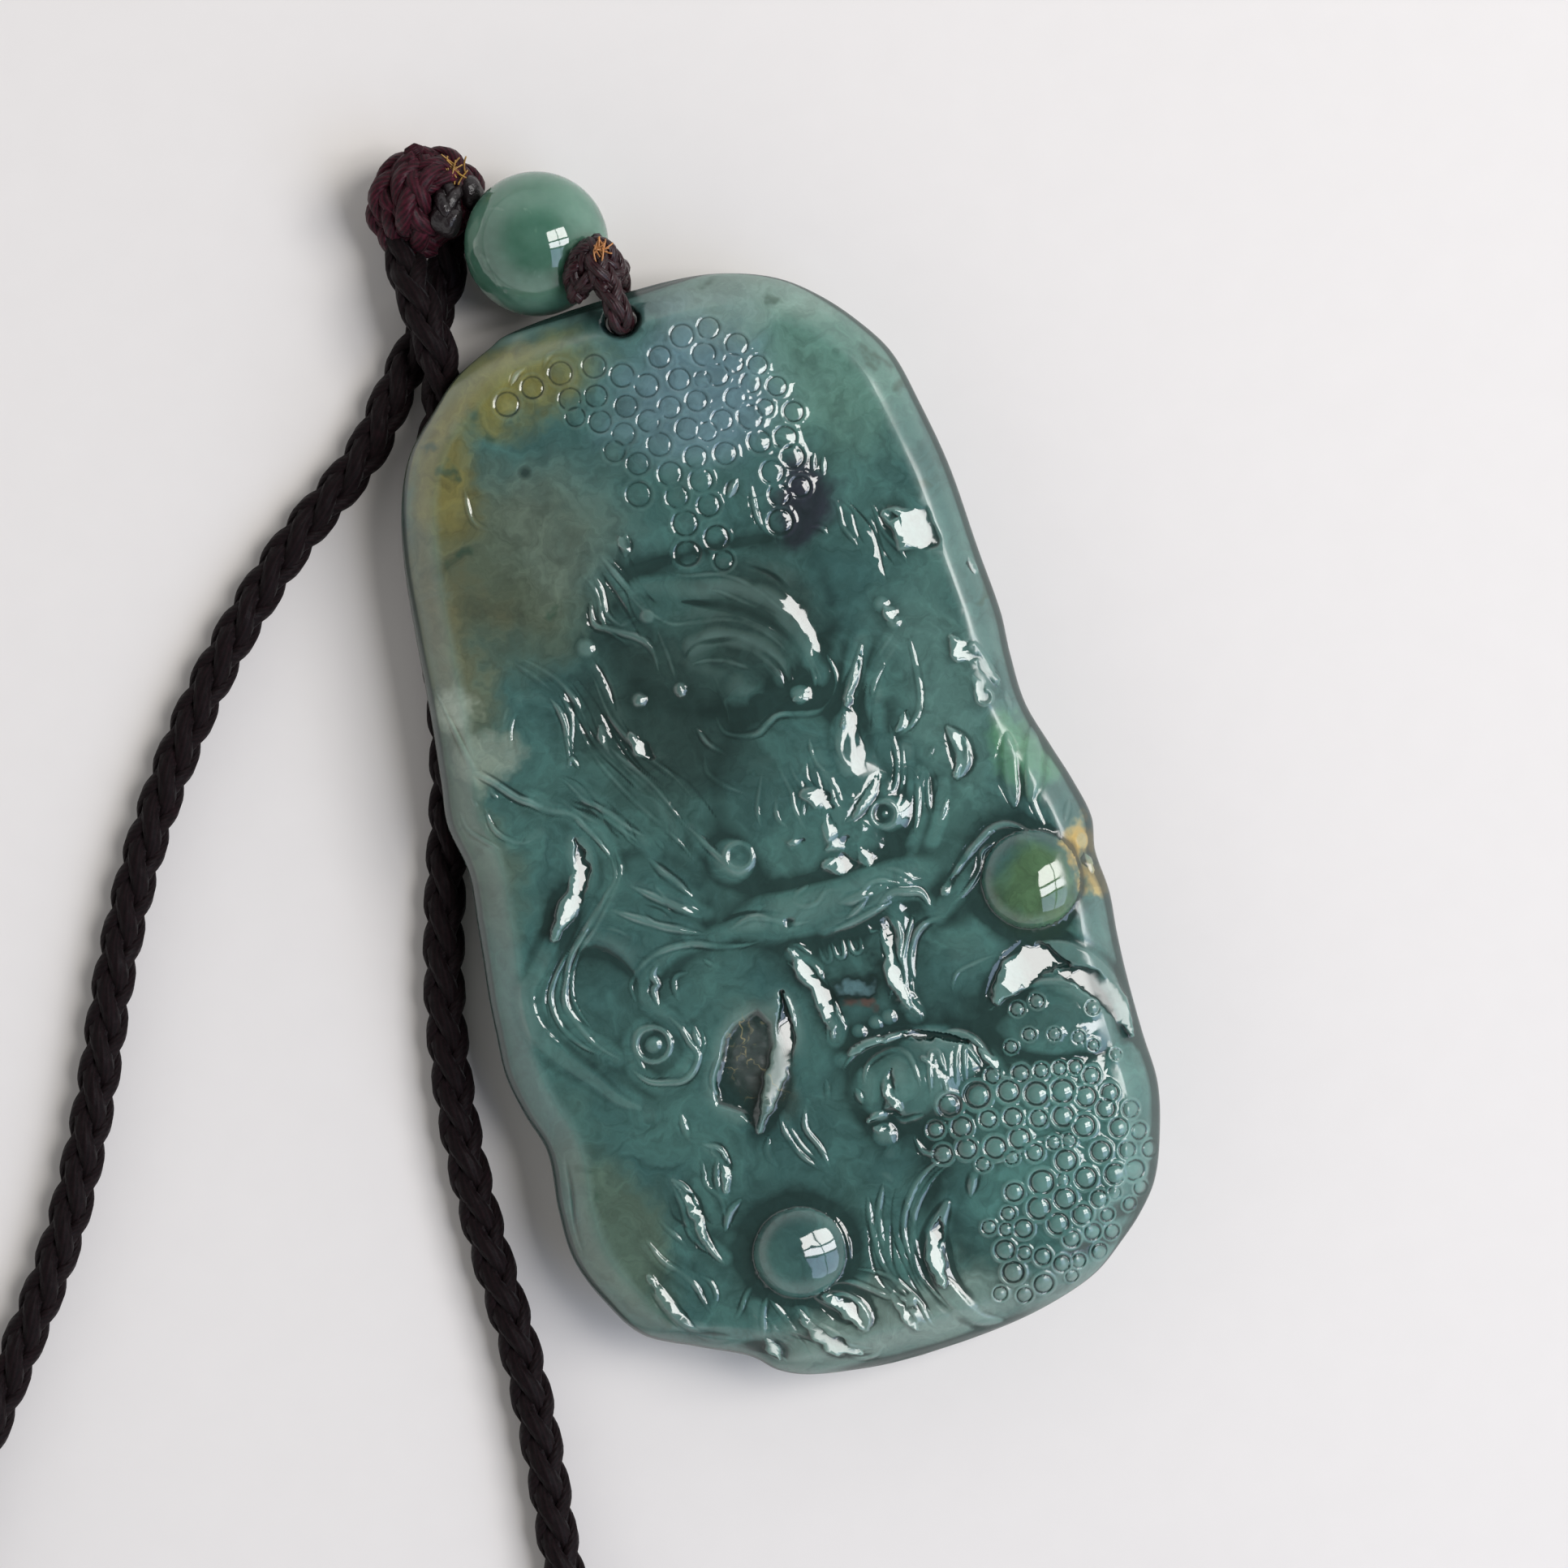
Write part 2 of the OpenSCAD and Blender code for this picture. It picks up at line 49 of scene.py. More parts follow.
def linearColor(hexText):  # sRGB hex to linear
    shares = [int(hexText[i:i + 2], 16) / 255 for i in (0, 2, 4)]
    return [s / 12.92 if s <= 0.04045 else ((s + 0.055) / 1.055) ** 2.4 for s in shares] + [1]


def addNode(tree, kind, inputs=None, **settings):  # a socket among the inputs is linked, the rest is set
    node = tree.nodes.new(kind)
    for name, value in settings.items():
        setattr(node, name, value)
    for key, value in (inputs or {}).items():
        if isinstance(value, bpy.types.NodeSocket):
            tree.links.new(value, node.inputs[key])
        else:
            node.inputs[key].default_value = value
    return node


def newMaterial(name):
    material = bpy.data.materials.new(name)
    material.use_nodes = True
    material.node_tree.nodes.clear()
    return material, material.node_tree


def finishMaterial(tree, surface):
    addNode(tree, "ShaderNodeOutputMaterial", {"Surface": surface})


def meshPiece(name, shape, material):  # shape: points in millimetres, faces, and uvs or None
    points, faces, uvs = shape
    mesh = bpy.data.meshes.new(name)
    mesh.from_pydata((np.asarray(points) * mm).tolist(), [], faces)
    if uvs is not None:
        mesh.uv_layers.new(name="UVMap").data.foreach_set("uv", np.asarray(uvs, float).ravel())
    mesh.shade_smooth()
    mesh.materials.append(material)
    piece = bpy.data.objects.new(name, mesh)
    bpy.context.scene.collection.objects.link(piece)
    return piece


def placed(piece, slot, *nodes):  # rides on the one body and stands for its nodes
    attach(piece, "root")
    if nodes:
        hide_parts(*nodes)
    return piece


def smoothLine(points, steps):  # Catmull-Rom curve through all the points
    p = np.asarray(points, float)
    p = np.vstack([p[:1], p, p[-1:]])
    t = (np.arange(steps) / steps)[:, None]
    spans = [0.5 * (2 * p[i + 1] + (p[i + 2] - p[i]) * t
                    + (2 * p[i] - 5 * p[i + 1] + 4 * p[i + 2] - p[i + 3]) * t ** 2
                    + (3 * p[i + 1] - p[i] - 3 * p[i + 2] + p[i + 3]) * t ** 3)
             for i in range(len(p) - 3)]
    return np.vstack(spans + [p[-1:]])


def lengthAlong(path):  # how far each point is from the start of the line
    return np.concatenate([[0], np.cumsum(np.linalg.norm(np.diff(path, axis=0), axis=1))])


def evenLine(points, step):  # the same line with its points evenly spaced
    p = np.asarray(points, float)
    reached = lengthAlong(p)
    places = np.linspace(0, reached[-1], max(2, round(reached[-1] / step)) + 1)
    return np.stack([np.interp(places, reached, p[:, k]) for k in range(p.shape[1])], 1)


def relaxed(points, passes):  # rounds off a line, with its ends held
    p = points.copy()
    for _ in range(passes):
        p[1:-1] = (p[:-2] + 2 * p[1:-1] + p[2:]) / 4
    return p


def unit(v):
    return v / np.maximum(np.linalg.norm(v, axis=-1, keepdims=True), 1e-9)


def normalsAlong(path):  # two normals at each point of a line, without twist
    tangents = unit(np.gradient(path, axis=0))
    start = np.cross(tangents[0], [0, 0, 1])
    normal = unit(start if np.linalg.norm(start) > 0.1 else np.cross(tangents[0], [1, 0, 0]))
    normals = []
    for tangent in tangents:
        normal = unit(normal - tangent * normal.dot(tangent))
        normals.append(normal)
    normals = np.array(normals)
    return normals, np.cross(tangents, normals)


def turns(sides):  # angles of the points on a ring
    return 2 * math.pi * np.arange(sides) / sides


def ringFaces(rings, sides, closed=False):  # between neighbouring rings, also from last to first if closed
    i, k = np.meshgrid(np.arange(rings if closed else rings - 1), np.arange(sides), indexing="ij")
    here, onward, turned = i * sides, (i + 1) % rings * sides, (k + 1) % sides
    return np.stack([here + k, onward + k, onward + turned, here + turned], -1).reshape(-1, 4).tolist()


def tubeMesh(path, wide, thick, outward, sides):  # oval tube, its thin way along outward
    tangents = unit(np.gradient(path, axis=0))
    across = unit(np.cross(tangents, outward))
    upward = np.cross(across, tangents)
    turn = turns(sides)
    wide = np.broadcast_to(wide, len(path))[:, None, None]
    thick = np.broadcast_to(thick, len(path))[:, None, None]
    rings = (path[:, None] + wide * across[:, None] * np.cos(turn)[None, :, None]
             + thick * upward[:, None] * np.sin(turn)[None, :, None])
    reached = lengthAlong(path)
    uvs = [(at, around / sides) for start, end in zip(reached[:-1], reached[1:]) for k in range(sides)
           for at, around in ((start, k), (end, k), (end, k + 1), (start, k + 1))]
    # both ends are closed, each with one face
    first, last = range(sides), range(sides - 1, -1, -1)
    faces = ringFaces(len(path), sides)
    faces += [list(first), [(len(path) - 1) * sides + k for k in last]]
    uvs += [(reached[0], k / sides) for k in first] + [(reached[-1], k / sides) for k in last]
    return rings.reshape(-1, 3), faces, uvs


def joined(parts):  # several meshes as one
    points, faces, uvs, count = [], [], [], 0
    for p, f, u in parts:
        points.append(p)
        faces += [tuple(k + count for k in face) for face in f]
        uvs += u
        count += len(p)
    return np.vstack(points), faces, uvs


# shares of a cord's radius: where its strands lie, how far they weave in and out, and their own radii
braid = {"middle": 0.56, "weave": 0.15, "wide": 0.42, "thick": 0.29, "core": 0.5, "sides": 6}


def braidMesh(path, radius, pitch):
    # round braid of 8 strands, over two and under two, 4 of them turning each way
    radius = np.broadcast_to(radius, len(path)).astype(float)
    normals, binormals = normalsAlong(path)
    reached = lengthAlong(path)
    crossing = 8 * reached / pitch
    parts = []
    for strand in range(8):
        way = 1 if strand < 4 else -1
        number = strand % 4
        turn = way * 2 * math.pi * reached / pitch + number * math.pi / 2
        parity = way * (-1) ** number
        over = parity * np.cos(math.pi / 2 * (crossing - way * 0.5))
        outward = normals * np.cos(turn)[:, None] + binormals * np.sin(turn)[:, None]
        centre = path + outward * (radius * (braid["middle"] + braid["weave"] * over))[:, None]
        wide, thick = braid["wide"] * radius, braid["thick"] * radius
        parts.append(tubeMesh(centre, wide, thick, outward, braid["sides"]))
    thin = slice(None, None, 3)  # the core is hidden, so a third of the points will do
    core = braid["core"] * radius[thin]
    parts.append(tubeMesh(path[thin], core, core, normals[thin], braid["sides"]))
    return joined(parts)


def blobMesh(centre, size, roughness, seed, rings=20, sides=28):  # lumpy closed ball
    rng = np.random.default_rng(seed)
    waves = [(rng.normal(size=3) * 2.2, rng.uniform(0, 6.28)) for _ in range(7)]
    down = np.linspace(0, math.pi, rings + 1)[1:-1, None]
    turn = turns(sides)[None]
    way = np.stack([np.sin(down) * np.cos(turn), np.sin(down) * np.sin(turn),
                    np.cos(down) * np.ones_like(turn)], -1).reshape(-1, 3)
    way = np.vstack([way, [[0, 0, 1], [0, 0, -1]]])
    swell = 1 + roughness * sum(np.sin(way @ w + ph) for w, ph in waves) / len(waves)
    points = np.asarray(centre) + way * np.asarray(size) * swell[:, None]
    faces = ringFaces(rings - 1, sides)
    top, base = (rings - 1) * sides, (rings - 2) * sides
    for k in range(sides):
        faces += [[top, k, (k + 1) % sides], [top + 1, base + (k + 1) % sides, base + k]]
    uvs = [(0, 0)] * sum(len(face) for face in faces)
    return points, faces, uvs


# camera: straight above the face and rolled as the photograph is

view = {
    "middle": (2.05, 2.06),
    "height": 258,
    "faceHeight": 8,
    "field": 90.9,  # what the frame takes in, side to side, at the height of the carved face
    "roll": -17,  # degrees
    "sensor": 36,
}

camera = bpy.data.cameras.new("camera")
camera.sensor_width = view["sensor"]
camera.lens = view["sensor"] * (view["height"] - view["faceHeight"]) / view["field"]
camera.clip_start = 0.01
cameraObject = bpy.data.objects.new("camera", camera)
cameraObject.location = (view["middle"][0] * mm, view["middle"][1] * mm, view["height"] * mm)
cameraObject.rotation_euler = (0, 0, math.radians(view["roll"]))
bpy.context.scene.collection.objects.link(cameraObject)
bpy.context.scene.camera = cameraObject
print("camera in place")


# window and room, needed before the plaque, whose cut faces are turned to the window

studio = {
    "floorTones": ("dcd8d5", "dfdbd8"),
    "windowWay": (0.588, -0.328, 0.739),  # from the pendant to the window
    "windowUp": (0.17, 0.918, 0.358),
    "windowAway": 0.6,  # metres
    "windowSize": (0.69, 0.38),  # metres, up and across
    "bar": 0.035,  # share of the window that the bars take
    "columns": 2,
    "rows": [(0.3, 11.4, "fffdfa"), (0.17, 11.4, "fbfbff"), (0.53, 3.2, "b9cdf0")],  # share, light, tint
    "brightPane": (0.34, 0.25),  # middle of one white pane, as shares of the window up and across
    "walls": 0.98,  # light of the white walls and of the dim ceiling
    "ceiling": 0.12,
}


def windowAxes():
    way = Vector(studio["windowWay"]).normalized()
    up = Vector(studio["windowUp"])
    up = (up - way * up.dot(way)).normalized()
    return way, up, way.cross(up)


def mirrorSlope(x, y, z):  # slope of a face there that mirrors the window's white panes
    here = Vector((x, y, z)) * mm
    way, up, across = windowAxes()
    paneUp, paneAcross = studio["brightPane"]
    tall, wide = studio["windowSize"]
    window = way * studio["windowAway"] + up * paneUp * tall + across * paneAcross * wide
    middle = (window - here).normalized() + (cameraObject.location - here).normalized()
    return middle.x / middle.z, middle.y / middle.z


# cords: waxed nylon, braided by machine

def braidedNylon(name, tones):
    # waxed nylon yarn, braided: dull and dark with a faint waxy sheen, so that the strands read by
    # their shape more than by their colour
    material, tree = newMaterial(name)
    uv = addNode(tree, "ShaderNodeTexCoord").outputs["UV"]
    place = addNode(tree, "ShaderNodeTexCoord").outputs["Object"]
    # 9 twisted threads lie round each strand, about 0.3 mm apart (real ones are 0.1 mm, too fine to show)
    threadCount = 9
    yarn = addNode(tree, "ShaderNodeVectorMath", {0: uv, 1: (threadCount, 2 * math.pi * threadCount, 0)},
                   operation="DOT_PRODUCT").outputs["Value"]
    ridges = addNode(tree, "ShaderNodeMath", {0: yarn}, operation="SINE").outputs[0]
    fuzz = addNode(tree, "ShaderNodeTexNoise",
                   {"Vector": place, "Scale": 2.6 / mm, "Detail": 5, "Roughness": 0.65}).outputs["Fac"]
    wax = addNode(tree, "ShaderNodeTexNoise",
                  {"Vector": place, "Scale": 0.7 / mm, "Detail": 3, "Roughness": 0.6}).outputs["Fac"]
    threads = addNode(tree, "ShaderNodeMath", {0: ridges, 1: 0.16, 2: fuzz},
                      operation="MULTIPLY_ADD").outputs[0]
    # painted shade: darker between the threads than on them, broken up by fuzz
    shade = addNode(tree, "ShaderNodeMapRange",
                    {"Value": threads, "From Min": 0.2, "From Max": 0.85}).outputs["Result"]
    color = addNode(tree, "ShaderNodeMix",
                    {0: shade, 6: linearColor(tones["deep"]), 7: linearColor(tones["yarn"])},
                    data_type="RGBA").outputs[2]
    dusty = addNode(tree, "ShaderNodeMapRange",
                    {"Value": wax, "From Min": 0.62, "From Max": 0.8, "To Max": tones["wax"]},
                    ).outputs["Result"]
    color = addNode(tree, "ShaderNodeMix", {0: dusty, 6: color, 7: linearColor(tones["dust"])},
                    data_type="RGBA").outputs[2]
    rough = addNode(tree, "ShaderNodeMapRange",
                    {"Value": wax, "From Min": 0.3, "From Max": 0.7,
                     "To Min": tones["rough"][0], "To Max": tones["rough"][1]}).outputs["Result"]
    bump = addNode(tree, "ShaderNodeBump",
                   {"Height": threads, "Strength": 0.7, "Distance": 0.08 * mm}).outputs["Normal"]
    surface = addNode(tree, "ShaderNodeBsdfPrincipled",
                      {"Base Color": color, "Roughness": rough, "Normal": bump, "IOR": 1.5,
                       "Specular IOR Level": tones["mirror"], "Sheen Weight": 0.03,
                       "Sheen Roughness": 0.5}).outputs[0]
    finishMaterial(tree, surface)
    return material


# colours between the threads (painted shade there), on them and of dust, how much dust, how much mirror, how
# rough
neckCordNylon = braidedNylon("braided_nylon_black", {
    "deep": "060203", "yarn": "16090c", "dust": "341f25", "wax": 0.25, "mirror": 0.1, "rough": (0.5, 0.8)})
knotNylon = braidedNylon("braided_nylon_maroon", {
    "deep": "0c0104", "yarn": "420b1c", "dust": "7c2c46", "wax": 0.35, "mirror": 0.18, "rough": (0.35, 0.65)})
thinNylon = braidedNylon("waxed_nylon_wine", {
    "deep": "0a0103", "yarn": "300711", "dust": "5c2032", "wax": 0.35, "mirror": 0.34, "rough": (0.22, 0.5)})

neckCord = {
    "diameter": 2.6,
    "pitch": 11,  # one turn of a strand
    "step": 0.34,  # between the points of the mesh, along the cord
    "softening": 6,  # how often the route is rounded off
    "route": [  # middle line, from the button knot round and back to it
        (-9.8, 40.9, 2.4), (-10.2, 39.6, 2.4), (-10.4, 38.2, 2.9), (-10.4, 36.8, 3.6),
        (-10.3, 35.5, 4.05), (-10.1, 34.2, 4.2), (-10, 32.9, 4), (-10.1, 31.5, 3.45),
        (-10.5, 29.9, 2.5), (-11.2, 28.3, 1.7), (-12.2, 26.7, 1.35), (-13.2, 24.8, 1.35),
        (-14.1, 22, 1.35), (-14.8, 18, 1.35), (-15.6, 13, 1.35), (-17, 7.6, 1.35),
        (-19.2, 1.6, 1.35), (-21.2, -5, 1.35), (-22.4, -12, 1.35), (-22.8, -19, 1.35),
        (-22.8, -26, 1.35), (-23.4, -33, 1.35), (-24.2, -40, 1.35), (-23, -47.6, 1.35),
        (-18.6, -53.4, 1.35), (-11.6, -56.4, 1.35), (-3.8, -56.8, 1.35), (4, -56, 1.35),
        (11.2, -57.4, 1.35), (16, -62.2, 1.35), (16.2, -68.6, 1.35), (12.4, -74, 1.35),
        (5.6, -76.8, 1.35), (-2.4, -77.4, 1.35), (-10.4, -75.8, 1.35), (-18, -72.2, 1.35),
        (-25.4, -67.8, 1.35), (-33.2, -64.4, 1.35), (-41.4, -63.8, 1.35), (-49, -66.6, 1.35),
        (-56, -71.2, 1.35), (-63.4, -75.4, 1.35), (-71.2, -77, 1.35), (-78.4, -74.6, 1.35),
        (-83.2, -69, 1.35), (-84.6, -61.6, 1.35), (-82.6, -54, 1.35), (-78, -48, 1.35),
        (-73, -43.2, 1.35), (-67, -37.8, 1.35), (-62, -31.4, 1.35), (-57.4, -24.6, 1.35),
        (-52.2, -18, 1.35), (-47, -11.4, 1.35), (-42.8, -4.2, 1.35), (-39.2, 3.2, 1.35),
        (-35, 10.2, 1.35), (-30, 16.6, 1.35), (-25.2, 21.4, 1.35), (-21, 24.8, 1.35),
        (-17.8, 26.8, 1.35), (-15.6, 28.4, 1.35), (-14.1, 30.2, 1.35), (-12.7, 31.8, 1.35),
        (-11.4, 33.2, 1.35), (-10.1, 34.4, 1.35), (-8.9, 35.7, 1.35), (-8.1, 37.2, 1.45),
        (-7.6, 38.6, 1.7), (-7.4, 39.9, 2.1)],
}


def makeNeckCord():
    middle = relaxed(evenLine(smoothLine(neckCord["route"], 16), 0.8), neckCord["softening"])
    shape = braidMesh(evenLine(middle, neckCord["step"]), neckCord["diameter"] / 2, neckCord["pitch"])
    piece = placed(meshPiece("neck_cord_braid", shape, neckCordNylon), "neck_cord", "neck_cord")


makeNeckCord()


# places of the small pieces, the plaque's and the bead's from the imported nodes

plaqueLow, plaqueHigh = [np.array(corner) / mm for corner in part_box("plaque")]
beadLow, beadHigh = [np.array(corner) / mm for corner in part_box("bead")]
halfWidth = (plaqueHigh[0] - plaqueLow[0]) / 2
halfLength = (plaqueHigh[1] - plaqueLow[1]) / 2
beadRadius = (beadHigh[0] - beadLow[0]) / 2
beadMiddle = (beadLow + beadHigh) / 2
smallKnotMiddle = np.array([0.61, 33.49, 7.9])
buttonKnotMiddle = np.array([-8.04, 41.27, 2.89])
boreAxis = unit(np.array([0.612, -0.612, 0.5]))

thinCord = {
    "diameter": 1.7,
    "pitch": 6,
    "step": 0.22,
    "loop": [  # out of the small knot, over the rim, down the hole, under the rim and up behind it
        (0.61, 32.9, 8.0), (0.8, 32.25, 8.1), (0.85, 31.3, 8.05), (0.85, 30.65, 7.5), (0.85, 30.6, 5.6),
        (0.85, 30.75, 3.4), (1.0, 31.55, 1.7), (1.2, 32.75, 1.7), (1.35, 33.75, 2.9), (1.45, 33.85, 4.6),
        (1.45, 33.6, 6.2), (1.1, 33.49, 7.6)],
    "taper": 0.08,  # how much thinner the loop is pulled inside the hole
    "taperMiddle": (30.7, 5),  # along and up
    "taperReach": 3,
}


def makeHangingLoop():
    line = evenLine(smoothLine(thinCord["loop"], 10), thinCord["step"])
    along, up = thinCord["taperMiddle"]
    inHole = np.exp(-((line[:, 1] - along) ** 2 + (line[:, 2] - up) ** 2) / thinCord["taperReach"])
    radius = thinCord["diameter"] / 2 * (1 - thinCord["taper"] * inHole)
    shape = braidMesh(line, radius, thinCord["pitch"])
    placed(meshPiece("hanging_loop_braid", shape, thinNylon), "thin_cord", "hanging_loop")


def makeBeadCord():
    # straight through the bead, with both ends buried in the knots
    mouth, within = boreAxis * (beadRadius - 0.1), boreAxis * (beadRadius - 1.6)
    route = [smallKnotMiddle + (-0.3, 0.1, -0.1), beadMiddle + mouth, beadMiddle + within, beadMiddle,
             beadMiddle - within, beadMiddle - mouth,
             buttonKnotMiddle + (beadMiddle - buttonKnotMiddle) * 0.15]
    line = evenLine(smoothLine(route, 10), thinCord["step"])
    shape = braidMesh(line, thinCord["diameter"] / 2, thinCord["pitch"])
    placed(meshPiece("bead_cord_braid", shape, thinNylon), "thin_cord", "bead_cord")


makeHangingLoop()
makeBeadCord()


# knots: the same cords wound and pulled tight, the ends melted shut

buttonKnot = {
    "pitch": 7,
    "strands": [  # place from the knot's middle, heading of the strand, its radius
        ((0.35, 2.0, 0.6), 5, 1.15), ((-2.1, 0.9, 1.1), 62, 1.2), ((-2.75, -0.2, 0.0), 95, 1.1),
        ((-2.4, -1.6, -0.2), 130, 1.1), ((-0.9, -0.3, 1.9), 75, 1.35), ((0.8, 1.0, 1.75), 20, 1.1),
        ((1.75, 1.4, 0.6), -35, 1.15), ((2.5, 0.1, -0.5), -80, 1.1), ((-0.4, -1.9, 0.2), 5, 1.15),
        ((1.4, -1.3, 0.0), 60, 1.05), ((-1.4, 1.6, -0.4), 30, 1.25), ((0.1, 0.2, -1.3), 40, 1.3),
        ((-0.9, 0.4, -0.6), -50, 1.6)],
    "stub": [(-6.7, 41.2, 4.2), (-6.9, 40.5, 4.7), (-7.15, 39.7, 4.8)],
    "stubRadius": 0.98,
    "stubPitch": 6,
    "melted": [  # place, size, how lumpy, seed
        ((-7.2, 39.45, 4.75), (0.95, 0.85, 0.95), 0.35, 4), ((-5.6, 41.0, 3.2), (0.95, 1.15, 1.1), 0.3, 9)],
}

smallKnot = {
    "pitch": 5,
    "step": 0.18,
    "strands": [  # routes and radius
        ([(-1.0, 32.7, 6.9), (-1.05, 33.5, 7.5), (-0.5, 34.5, 8.0), (0.5, 35.0, 8.1), (1.3, 34.4, 7.8),
          (1.3, 33.2, 7.2)], 0.78),
        ([(0.7, 35.2, 7.2), (0.55, 34.8, 8.1), (0.45, 34.1, 8.45), (0.55, 33.3, 8.35), (0.7, 32.6, 8.1)],
         0.85),
        ([(-1.1, 33.4, 7.3), (-0.5, 33.2, 8.0), (0.1, 33.5, 8.2)], 0.62),
        ([(1.5, 33.6, 7.4), (1.1, 33.1, 7.9), (0.7, 33.4, 8.0)], 0.62),
        ([(-0.6, 33.6, 7.0), (0.5, 34.0, 6.9), (1.4, 33.8, 6.9)], 0.95)],
}

fibres = {
    "radius": 0.05,
    "deep": "5a3a18",
    "gold": "b98f3c",
    "orange": "d08a4a",
    "atButton": ((1.9, 1.0, 1.6), 16, 0.8),  # place from the knot, count, spread
    "atSmall": ((0.3, 1.2, 1.05), 16, 0.6),
}


def sealedNylon():
    # nylon end melted over a flame: dark, lumpy and glossy
    material, tree = newMaterial("melted_nylon_end")
    place = addNode(tree, "ShaderNodeTexCoord").outputs["Object"]
    lumps = addNode(tree, "ShaderNodeTexNoise",
                    {"Vector": place, "Scale": 1.4 / mm, "Detail": 4, "Roughness": 0.6}).outputs["Fac"]
    color = addNode(tree, "ShaderNodeMix",
                    {0: lumps, 6: linearColor("0a0708"), 7: linearColor("261e21")},
                    data_type="RGBA").outputs[2]
    bump = addNode(tree, "ShaderNodeBump",
                   {"Height": lumps, "Strength": 0.8, "Distance": 0.2 * mm}).outputs["Normal"]
    surface = addNode(tree, "ShaderNodeBsdfPrincipled",
                      {"Base Color": color, "Roughness": 0.3, "IOR": 1.53, "Specular IOR Level": 0.4,
                       "Normal": bump}).outputs[0]
    finishMaterial(tree, surface)
    return material


def metallicThread(name, tone):
    # spun lurex thread: a warm glint on thin round fibres
    material, tree = newMaterial(name)
    place = addNode(tree, "ShaderNodeTexCoord").outputs["Object"]
    uneven = addNode(tree, "ShaderNodeTexNoise",
                     {"Vector": place, "Scale": 3 / mm, "Detail": 2}).outputs["Fac"]
    color = addNode(tree, "ShaderNodeMix",
                    {0: uneven, 6: linearColor(fibres["deep"]), 7: linearColor(tone)},
                    data_type="RGBA").outputs[2]
    surface = addNode(tree, "ShaderNodeBsdfPrincipled",
                      {"Base Color": color, "Roughness": 0.4, "Specular IOR Level": 0.6}).outputs[0]
    finishMaterial(tree, surface)
    return material


def boundStrand(middle, place, heading, radius, pitch):
    # a short stretch of cord that comes up, bends over the knot and dives in again
    place = np.array(place, float)
    outward = unit(place)
    along = np.array([math.cos(math.radians(heading)), math.sin(math.radians(heading)), 0])
    along = unit(along - outward * along.dot(outward))
    t = np.linspace(-1, 1, 17)[:, None]
    line = middle + place + along * (radius * 1.5 * t) - outward * (radius * 1.15 * t ** 2)
    return braidMesh(evenLine(line, thinCord["step"]), radius, pitch)


def makeButtonKnot():
    parts = [boundStrand(buttonKnotMiddle, place, heading, radius, buttonKnot["pitch"])
             for place, heading, radius in buttonKnot["strands"]]
    placed(meshPiece("button_knot_strands", joined(parts), knotNylon), "knot_cord", "button_knot")
    line = evenLine(smoothLine(buttonKnot["stub"], 6), thinCord["step"])
    parts = [braidMesh(line, buttonKnot["stubRadius"], buttonKnot["stubPitch"])]
    parts += [blobMesh(*melted) for melted in buttonKnot["melted"]]
    placed(meshPiece("button_knot_sealed_end", joined(parts), sealedNylon()), "knot_cord")


def makeSmallKnot():
    parts = [braidMesh(evenLine(smoothLine(route, 8), smallKnot["step"]), radius, smallKnot["pitch"])
             for route, radius in smallKnot["strands"]]
    placed(meshPiece("small_knot_strands", joined(parts), thinNylon), "thin_cord", "small_knot")


def makeFibres(name, middle, recipe, material, seed):  # loose ends that stick out of a knot
    offset, count, reach = recipe
    rng = np.random.default_rng(seed)
    parts = []
    for _ in range(count):
        start = middle + np.array(offset) + rng.normal(size=3) * reach * (0.35, 0.3, 0.12)
        way = unit(rng.normal(size=3) * (1, 1, 0.35))
        bend = unit(rng.normal(size=3)) * 0.5
        t = np.linspace(-0.5, 0.5, 9)[:, None]
        line = start + way * t * reach * 1.3 + bend * (0.25 - t ** 2) * reach + (0, 0, 0.1)
        outward = np.tile([0.1, 0.2, 1], (len(line), 1))
        parts.append(tubeMesh(line, fibres["radius"], fibres["radius"], outward, 6))
    placed(meshPiece(name, joined(parts), material), "knot_cord")


makeButtonKnot()
makeSmallKnot()
makeFibres("button_knot_gold_fibres", buttonKnotMiddle, fibres["atButton"],
           metallicThread("gold_thread", fibres["gold"]), 3)
makeFibres("small_knot_orange_fibres", smallKnotMiddle, fibres["atSmall"],
           metallicThread("orange_thread", fibres["orange"]), 8)
print("cords and knots made")


# bead: turned and polished jade, drilled through

bead = {
    "holeDiameter": 2.5,
    "holeRounding": 0.3,
    "segments": 128,
    "rows": 72,
    "tones": ("214a39", "4c7865"),  # the darker side and the lighter one, blended along the length
    "blend": (32.5, 41),
}


